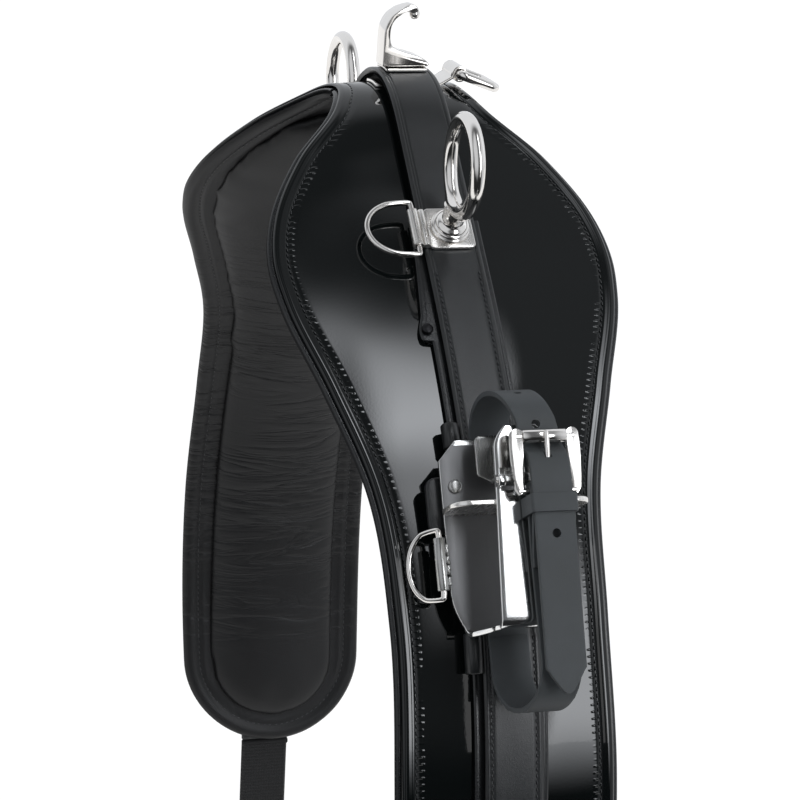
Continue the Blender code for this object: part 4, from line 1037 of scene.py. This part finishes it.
terret = {
    "along": 113, "plate": 24.5, "corner": 2.5, "thickness": 2, "ring": 23, "wire": 3.75, "out": 44,
    "upright": 28, "oval": 1.15, "deeOut": 18.4, "eye": 22, "dee": (35, 27), "deeWire": 1.5,
    "neck": ((0, 6), (5.4, 6.5), (5.2, 8.5), (4.9, 10.5), (4.9, 12.5), (5.2, 14.5)),
    "boss": (
        (0, -17), (2.2, -17), (2.5, -16.6), (2.5, 2.4), (9.9, 2.4), (10.4, 2.8), (10.4, 3.4), (10, 3.8), (9.4, 3.95),
        (9.2, 4.2), (9.2, 4.5), (9.6, 4.8), (9.6, 5.3), (9.2, 5.8), (8.3, 6.1), (8.2, 6.4), (7.9, 7), (7.2, 7.6),
        (6.2, 8.1), (5.6, 8.8), (5.2, 10), (0, 10.2),
    ),
}


def roundedOutline(halfX, halfY, radius, count=6):
    outline = []
    for turn, x, y in ((0, 1, 1), (90, -1, 1), (180, -1, -1), (270, 1, -1)):
        outline += arcPoints((x * (halfX - radius), y * (halfY - radius)), radius, turn, turn + 90, count)
    return outline


def makeDee(name, height, depth, wire):
    half, reach, corner = height / 2 - wire, depth - wire, 5
    turns = [math.pi * k / 12 for k in range(1, 12)]
    bow = [(-corner - (reach - corner) * math.sin(a) ** 0.9, half * math.cos(a), 0) for a in turns]
    path = [(-corner * 0.3, half, 0), *bow, (-corner * 0.3, -half, 0), (0, -half + corner * 0.4, 0)]
    path += [(0, y, 0) for y in (-half / 2, 0, half / 2, half - corner * 0.4)]
    return wirePiece(name, smoothPath(path, 5, True), wire, closed=True)


def makeTerret():
    seat = nearPlace(terret["along"], levels["plate"])
    half, reach, eyeUp = terret["plate"] / 2, terret["eye"] / 2, terret["deeWire"] + gap
    eye = shift(-terret["deeOut"], 0, eyeUp)
    plate = cutOut("near_terretPlate", roundedOutline(half, half, terret["corner"]), 0, terret["thickness"], 0.5, 4)
    roll = moved(tubePiece("terretEye", eyeUp, 3, terret["eye"], 0.4, 0.4, 36), eye, turnX)
    ridge = [(-2.6, 0), (2.2, 0), (2.2, 1.2), *arcPoints((0, 1.5), 1.9, 0, 180, 14), (-2.6, 1.2)]
    ridge = moved(cutOut("terretRidge", ridge, -reach, reach, 0.25, 2), shift(-half - 1.5), turnX)
    settle(joinPieces(plate, roll, ridge), seat)
    finishPair(plate, "plate", "polished_steel", "terret_plate", smooth=40)
    dee = makeDee("near_terretDee", *terret["dee"], terret["deeWire"])
    settle(dee, seat, eye)
    finishPair(dee, "steel", "polished_steel", "terret_dee", "terret_dee", smooth=60)
    boss = turnedPiece("near_terretRing", terret["boss"], 48)
    major, minor = terret["ring"], terret["wire"]
    segments = {"major_segments": 96, "minor_segments": 28}
    ring = addPiece(bpy.ops.mesh.primitive_torus_add, major_radius=major, minor_radius=minor, **segments)
    points = pointsOf(ring)
    radius = np.hypot(points[:, 0], points[:, 1])
    turn = np.arctan2(points[:, 1], points[:, 0])
    # the ring is a little oval and thickens to its neck
    low = bell(np.abs(np.angle(np.exp(1j * (turn + math.pi / 2)))), 0, 0.22)
    radius += (radius - major) * 0.35 * low * (radius > major)
    height = radius * np.sin(turn)
    height = np.where(height < 0, height * terret["oval"], height) + terret["out"]
    movePoints(ring, np.stack([points[:, 2] * (1 + 0.18 * low), radius * np.cos(turn), height], axis=1))
    top = terret["out"] - major * terret["oval"]
    neck = [*terret["neck"], (5.4, top - 1), (4, top), (0, top + 1)]
    joinPieces(ring, turnedPiece("terretNeck", neck, 40))
    lean = float(fallAt(terret["along"])) - terret["upright"]
    moved(ring, Matrix.Rotation(math.radians(-lean), 4, "X"))
    editAll(ring, outward)
    settle(joinPieces(boss, ring), seat)
    finishPair(boss, "steel", "polished_steel", "terret", smooth=50)


makeTerret()
print("terrets made")

coupler = {
    "along": 284, "lean": 2, "standoff": 7.8, "sheet": 2.5, "frontHalf": 14, "frontLowHalf": 17.5, "flare": 1.6,
    "crown": 0.6, "boltOut": 25, "boltUp": 26,
    "front": ((-49, 23), (-39, 32), (27, 32), (32, 31.3), (37, 29.8), (41, 28), (43.75, 26.8)),
    "lug": ((19, 34), (25, 34), (25, 39.4), (24.2, 40.6), (23, 41.1), (21, 41.1), (19.8, 40.6), (19, 39.4)),
    "bolt": (
        (0, -9.4), (2.6, -9.4), (2.8, -9.2), (2.8, -7.8), (2.2, -7.8), (2.2, 2.8), (3.2, 2.8), (3.5, 3.05), (3.45, 3.5),
        (3.0, 3.95), (2.1, 4.15), (0, 4.2),
    ),
}
slope = float(fallAt(coupler["along"])) + coupler["lean"]
couplerSeat = nearPlace(coupler["along"], levels["strap"] + coupler["standoff"], slope)
# Stands an outline up, so that it lies in y and z
thickAcross = Matrix(((0, 0, 1, 0), (1, 0, 0, 0), (0, 1, 0, 0), (0, 0, 0, 1)))


def blockPiece(name, low, high):
    corners = [(low[0], low[1]), (high[0], low[1]), (high[0], high[1]), (low[0], high[1])]
    return cutOut(name, corners, low[2], high[2], 0)


def makeCoupler():
    base = np.concatenate([np.linspace(49, 39, 9), np.linspace(36, -27.75, 26), np.linspace(-30, -42, 5)])
    path = [(y, 1.25) for y in base]
    halves = list(np.interp(-base, *np.array(coupler["front"]).T))
    path += arcPoints((-43.75, 5.25), 4, -90, -180, 7) + [(-47.75, z) for z in np.linspace(8, 27, 8)]
    eased = 1 - (1 - np.linspace(0, 1, 8)) ** 1.6
    halves += list(np.linspace(26.6, 25, 7)) + list(24.6 - 6.1 * eased)
    path += arcPoints((-43.75, 29.75), 4, 180, 90, 7)
    halves += [coupler["frontLowHalf"]] * 7
    for y in np.linspace(-41, 27, 26):
        path.append((y, 33.75))
        halves.append(coupler["frontLowHalf"] + (coupler["frontHalf"] - coupler["frontLowHalf"]) * (y + 43.75) / 70.75)
    for part in np.linspace(0.08, 1, 13):
        path.append((27 + 22 * part, 33.75 + coupler["flare"] * math.sin(part * math.pi / 2)))
        halves.append(coupler["frontHalf"] * (1 - 0.45 * (max(part - 0.5, 0) / 0.5) ** 2))
    sheet = bentStrip("near_couplerSheet", path, halves, [0] * len(path), coupler["sheet"], 15, 0)
    # the outer plate is a little crowned
    points = pointsOf(sheet)
    crown = coupler["crown"] * (points[:, 0] / coupler["frontLowHalf"]) ** 2
    points[:, 2] -= crown * unit((points[:, 2] - 28) / 4)
    movePoints(sheet, points)
    cutAway(sheet, blockPiece("latchWindow", (-11.6, 17.6, 30), (0.4, 28.2, 38)))
    bevelEdges(sheet, 0.55, 3, 50)
    for low in (0.7, -14.5):
        joinPieces(sheet, moved(cutOut("latchLug", coupler["lug"], low, low + 2.6, 0.35), thickAcross))
    # the faces deep in the fold get a rougher, darker steel; its darker colour is painted shade where the fold lies in
    # shadow
    shadedFaces = []
    for face in sheet.data.polygons:
        x, y, z = face.center
        base = face.normal.z > 0.8 and y < 46
        bend = face.normal.y > 0.3 and y < -38
        shadedFaces.append(2.3 < z < 17 and abs(face.normal.x) < 0.3 and (base or bend))
    settle(sheet, couplerSeat)
    for made in finishPair(sheet, "folded", "polished_steel", "coupler", smooth=40):
        made.data.materials.append(finishes["paintedShadeSteel"])
        made.data.polygons.foreach_set("material_index", shadedFaces)
    shelf = cutOut("near_couplerShelf", roundedOutline(35, 14.7, 9, 12), -13.75, -11.25, 0.6, 4)
    settle(shelf, couplerSeat, shift(0, 0, 17.5), turnX)
    finishPair(shelf, "plate", "polished_steel", "coupler_shelf", smooth=40)
    pad = cutOut("near_couplerPad", roundedOutline(38, 14, 5), -7.5, -3.1, 1.0, 4)
    settle(pad, couplerSeat, shift(0, 18))
    finishPair(pad, "edge", "strap_leather", "coupler_pad", smooth=40)
    for end, x in (("front", -coupler["boltOut"]), ("rear", coupler["boltOut"])):
        bolt = turnedPiece(f"near_couplerBolt_{end}", coupler["bolt"], 32)
        settle(bolt, couplerSeat, shift(x, coupler["boltUp"]))
        finishPair(bolt, "cast", "polished_steel", f"coupler_bolt_{end}", smooth=40)


latch = {
    "up": 22, "out": 38.5, "middle": -5.6, "barrel": 3.2, "pin": 1.5, "bore": 1.8, "length": 12, "tongueOut": 15.5,
    "tongue": (
        (-16, 28.2), (-15, 27.8), (-6.6, 23.4), (-5.6, 23.2), (-4.6, 23.4), (15, 27.8), (16.4, 28.4), (17, 29.6),
        (17, 46.2), (15, 48.2), (-15, 48.2), (-17, 46.2), (-17, 29.4),
    ),
}


def makeLatch():
    spot = shift(latch["middle"], latch["up"], latch["out"]) @ turnY
    barrel = tubePiece("near_latchTongue", latch["bore"], latch["barrel"], latch["length"], 0.35, 0.35, 40)
    arm = [(25.2, z) for z in np.linspace(latch["tongueOut"] - 1, 38.6, 14)]
    arm = bentStrip("latchArm", arm, [5] * 14, [latch["middle"]] * 14, 2, 7)
    tongue = cutOut("latchPlate", latch["tongue"], latch["tongueOut"] - 2, latch["tongueOut"], 0.5, 3)
    joinPieces(moved(barrel, spot), arm, tongue)
    settle(barrel, couplerSeat)
    finishPair(barrel, "cast", "polished_steel", "coupler_latch", "coupler_latch", smooth=40)
    radius = latch["pin"]
    profile = [(0, -10), (radius - 0.4, -9.9), (radius, -9.4), (radius, 9.4), (radius - 0.4, 9.9), (0, 10)]
    pin = turnedPiece("near_latchPin", profile, 24)
    settle(pin, couplerSeat, spot)
    finishPair(pin, "steel", "polished_steel", "latch_pin", smooth=40)


couplerDee = {"clip": (-35.3, -12, 1.25), "length": 26, "dee": (37, 20.5), "deeWire": 1.5, "swing": 50}


def makeCouplerDee():
    x, up, out = couplerDee["clip"]
    half = couplerDee["length"] / 2
    tube = tubePiece("near_deeTube", couplerDee["deeWire"] + gap, 3, 2 * half, 0.3, 0.4, 32)
    moved(tube, shift(x, up, out), turnX)
    marks = np.linspace(-half + 2, half - 3, 40)
    lumps = 1.25 + 0.35 * np.sin(marks * 1.9) + 0.25 * np.sin(marks * 4.3 + 1)
    path = [(x + 2.9 + 0.25 * math.sin(y * 2.3), up + y, out + 0.9 + 0.3 * math.sin(y * 3.1)) for y in marks]
    lumps[0] = lumps[-1] = 0.5
    joinPieces(tube, wirePiece("weldBead", path, 1.0, tapers=list(lumps), sides=5))
    settle(tube, couplerSeat)
    finishPair(tube, "cast", "polished_steel", "dee_clip", smooth=50)
    dee = makeDee("near_couplerDeeWire", *couplerDee["dee"], couplerDee["deeWire"])
    settle(dee, couplerSeat, shift(x, up, out), Matrix.Rotation(math.radians(-couplerDee["swing"]), 4, "Y"))
    finishPair(dee, "steel", "polished_steel", "coupler_dee", "coupler_dee", smooth=60)


safety = {
    "half": 10, "thickness": 2.5, "inner": -4, "outer": 8.5, "hole": 2.2, "holeUp": -7,
    "tail": (
        (-83, 44.25), (-73, 44.25), (3.25, 49.85), (19, 49.85), (26, 49.7), (31, 48.2), (36.3, 41.8), (39.25, 40.35),
    ),
}


def halfTurn(centreUp, reachUp, startOut, endOut, count=30):
    turns = np.linspace(0, math.pi, count)
    middle, reach = (startOut + endOut) / 2, (startOut - endOut) / 2
    return [(centreUp + reachUp * math.sin(a), middle + reach * math.cos(a)) for a in turns]


def easedShift(start, end, count, early):
    part = np.linspace(0, 1, count)
    return list(start + (end - start) * (part * (2 - part) if early else 3 * part ** 2 - 2 * part ** 3))


def makeSafetyStrap():
    outer, inner = safety["outer"], safety["inner"]
    legs = [
        (safety["tail"], outer),
        (halfTurn(50.5, 17.5, 40.35, -1.55), None),
        ([(0, -1.55), (-49, -1.55)], inner),
        (halfTurn(-66, -21, -1.55, 38.35), None),
        ([(-16.75, 38.35), (3.25, 40.15), *arcPoints((14.75, 43.9), 3.15, -90, 90, 12), (3.25, 47.05)], outer),
        ([(-16.75, 41.15), (-21.75, 41.15)], outer),
    ]
    path, shifts = [], []
    for points, aside in legs:
        path += points
        early = len(path) < 50
        start, end = (outer - 2, inner) if early else (inner, outer)
        shifts += easedShift(start, end, len(points), early) if aside is None else [aside] * len(points)
    path = np.array(path)
    along = np.append(0, np.cumsum(np.hypot(*np.diff(path, axis=0).T)))
    fine = np.unique(np.round(np.concatenate([along, np.arange(0, along[-1], 2.0), [0.6, 1.5, 3, 5, 7, 9]]), 4))
    fine = fine[np.append(True, np.diff(fine) > 0.45)]
    dense = np.column_stack([np.interp(fine, along, path[:, k]) for k in (0, 1)])
    for turn in range(2):
        dense[1:-1] = dense[1:-1] / 2 + (dense[:-2] + dense[2:]) / 4
    halves = np.interp(fine, [0, 0.6, 1.5, 12], [1.2, 2.0, 2.9, safety["half"]])
    shifts = np.interp(fine, along, shifts)
    piece = bentStrip("near_safetyStrapBand", dense, halves, shifts, safety["thickness"], 13, 0.55, 3)
    # a slot for the buckle's heel and one for its prong, then the punched holes
    cutAway(piece, blockPiece("heelSlot", (6.4, 9.75, 38.25), (10.6, 21.25, 48.45)))
    cutAway(piece, blockPiece("prongSlot", (6.7, 30, 42.9), (10.3, 36, 53.85)))
    hole = safety["hole"]
    punchHole(piece, 28, shift(outer, safety["holeUp"], 49.8), Matrix.Diagonal((hole, hole, 4.4, 1)))
    for spot, size in (((6.4, 48.2, 40.4), (hole, hole, 9)), ((1.8, 64, 31.5), (2.0, 1.0, 9))):
        tilt = Matrix.Rotation(-math.atan2(spot[1] - 50, 12), 4, "X")
        punchHole(piece, 24, shift(*spot), tilt, Matrix.Diagonal((*size, 1)))
    settle(piece, couplerSeat)
    finishPair(piece, "soft", "soft_strap", "safety_strap", smooth=45)
    keeper = cutOut("near_strapKeeper", roundedOutline(11.8, 8.8, 1.6), -4.5, 4.5, 0)
    cutAway(keeper, cutOut("keeperHole", roundedOutline(10.3, 7.3, 0.6), -6, 6, 0))
    bevelEdges(keeper, 0.35, 3, 50)
    settle(keeper, couplerSeat, shift(outer, 7.75, 44.1), turnX)
    finishPair(keeper, "soft", "soft_strap", "safety_keeper", smooth=40)


buckle = {
    "heelUp": 14.75, "rollerUp": 41.25, "heelOut": 43.9, "rollerOut": 45.2, "half": 14.9, "wire": 1.6, "bore": 1.9,
    "side": ((-16.4, 15.6), (-14.6, 12.9), (-13.4, 13.4), (-12.4, 16), (-11.7, 24), (-11.2, 33), (-11, 43.4)),
    "sideEnd": ((-17.5, 38), (-17.5, 31), (-17, 22)), "roller": (3.3, 11), "groove": 0.12,
}


def makeBuckle():
    across, low, high, half = safety["outer"], buckle["heelUp"], buckle["rollerUp"], buckle["half"]
    heelOut, rollerOut, bore = buckle["heelOut"], buckle["rollerOut"], buckle["bore"]
    bars = [
        wirePiece("near_buckleFrameWire", [(across - half, y, out), (across + half, y, out)], buckle["wire"])
        for y, out in ((low, heelOut), (high, rollerOut))
    ]
    side = [*buckle["side"], *arcPoints((-14, 41.8), 3.2, 30, 175, 12), *buckle["sideEnd"]]
    for turned in (1, -1):
        bar = cutOut("buckleSide", [(across + x * turned, y) for x, y in side], -1.3, 1.3, 0.85, 4)
        points = pointsOf(bar)
        points[:, 2] += heelOut + (rollerOut - heelOut) * (points[:, 1] - low) / (high - low)
        movePoints(bar, points)
        editAll(bar, outward)
        bars.append(bar)
    sides = joinPieces(*bars)
    settle(sides, couplerSeat)
    finishPair(sides, "steel", "polished_steel", "buckle_frame", smooth=60)
    radius, end = buckle["roller"]
    groove = buckle["groove"]
    # the roller's sheet is bent round and meets in a groove at its middle
    ring = [(bore, -end), (radius - 0.4, -end), (radius, 0.5 - end), (radius, -groove), (radius - 0.1, -0.05)]
    ring += [(x, -z) for x, z in ring[::-1]]
    roller = turnedPiece("near_buckleRollerTube", ring, 40, closed=True)
    settle(roller, couplerSeat, shift(across, high, rollerOut), turnY)
    finishPair(roller, "steel", "polished_steel", "buckle_roller", "buckle_roller", smooth=40)
    eye = moved(tubePiece("near_buckleTongue", bore, 3.1, 2.4, 0.2, 0.2, 32), shift(across, low, heelOut), turnY)
    start, end = np.array((across, low + 1.2, 46)), np.array((across, high + 2, 50))
    way = [start + (end - start) * u for u in np.linspace(0, 1, 12)]
    bar = wirePiece("tongueBar", way, 1.2, tapers=[*[1.15] * 9, 1.12, 1.0, 0.7], sides=7)
    joinPieces(eye, bar)
    settle(eye, couplerSeat)
    finishPair(eye, "steel", "polished_steel", "buckle_prong", "buckle_prong", smooth=50)


makeCoupler()
makeLatch()
makeCouplerDee()
makeSafetyStrap()
makeBuckle()
print("couplers made")

for name in ("tree_arch", "hook_nut", "near_terret_nut", "far_terret_nut"):
    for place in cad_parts[name].material_slots:
        place.material = finishes["dark" if name == "tree_arch" else "cast"]

# A dim studio round the camera, white behind, with soft lamps above it and at its sides. Each lamp has its
# brightness, where it rises and fades in degrees up from the near side, and where it does so across
studio = {
    "floor": -0.675, "glow": 1.16, "tint": (0.955, 0.985, 1.03), "front": 0.13, "low": 0.02, "back": 0.88, "side": 0.7,
    "over": (0.33, 90, 106),
    "card": (0.2, 0.66), "cardPower": 0.44, "cardAt": (0.3, -0.94, 0.08), "cardTo": (0, 0, 0.03),
    "lamps": (
        (4.4, (51, 62), (62, 83), (0.15, 0.215), (0.286, 0.32)),
        (3.8, (18, 48), (62, 83), (0.15, 0.215), (0.286, 0.32)),
        (6.4, (-9, 10), (24, 44), (0.312, 0.34), (0.45, 0.6)),
        (0.18, (25, 35), (85, 100), (0.29, 0.31), (0.6, 0.8)),
        (0.6, (-30, 0), (75, 95), (-1, -0.9), (-0.4, -0.1)),
    ),
}


def makeStudio():
    world = bpy.data.worlds.new("studio")
    bpy.context.scene.world = world
    world.use_nodes = True
    tree = world.node_tree
    tree.nodes.clear()
    made = Finish.__new__(Finish)
    made.tree = tree
    side, depth, height = made.split(made.node("ShaderNodeTexCoord", output=0), 0, 1, 2)
    rise = height.maths("ARCTAN2", depth * -1) * (180 / math.pi)
    behind = depth.ramp(0.05, 0.45)
    level = studio["low"] + (studio["front"] - studio["low"]) * rise.ramp(-6, 12)
    overLevel, overStart, overEnd = studio["over"]
    level = level + rise.ramp(overStart, overEnd) * overLevel + side.ramp(0.5, 0.85) * studio["side"]
    level = level + behind * (studio["back"] - level)
    for radiance, up, down, left, right in studio["lamps"]:
        shape = rise.ramp(*up) * (1 - rise.ramp(*down)) * side.ramp(*left) * (1 - side.ramp(*right))
        level = level + shape * radiance
    seen = made.node("ShaderNodeLightPath", output=0)
    strength = level + seen * (1 - level)
    tint = made.colour(seen, studio["tint"], (1, 1, 1))
    background = made.node("ShaderNodeBackground", None, Color=tint, Strength=strength)
    end = tree.nodes.new("ShaderNodeOutputWorld")
    tree.links.new(background.socket, end.inputs[0])


def makeFloor():
    floor = addPiece(bpy.ops.mesh.primitive_plane_add, size=12)
    floor.name = "studioFloor"
    movePoints(floor, pointsOf(floor) + np.array((0, 5.5, studio["floor"])))
    made = Finish("studioWhite", Base_Color=(0.8, 0.8, 0.8), Roughness=0.9)
    seen, mirrored, through = (made.node("ShaderNodeLightPath", output=k) for k in (0, 3, 6))
    glow = made.node("ShaderNodeEmission", None, Color=(1, 1, 1), Strength=studio["glow"])
    white = seen.maths("MAXIMUM", mirrored).maths("MAXIMUM", through)
    mix = made.node("ShaderNodeMixShader", None, white * 0.8)
    links = made.tree.links
    links.new(made.shader.outputs[0], mix.socket.node.inputs[1])
    links.new(glow.socket, mix.socket.node.inputs[2])
    links.new(mix.socket, made.tree.nodes["Material Output"].inputs[0])
    floor.data.materials.append(made.material)


# A small soft light low in front, that the upright faces of hook and rings mirror
def makeCard():
    spot, target = Vector(studio["cardAt"]), Vector(studio["cardTo"])
    card = addPiece(bpy.ops.object.light_add, type="AREA", location=spot)
    card.name = "studioCard"
    card.rotation_euler = (target - spot).to_track_quat("-Z", "Y").to_euler()
    card.data.shape = "RECTANGLE"
    card.data.size, card.data.size_y = studio["card"]
    card.data.energy = studio["cardPower"]

makeStudio()
makeFloor()
makeCard()
print("studio made")

bpy.context.scene.view_settings.view_transform = "Standard"
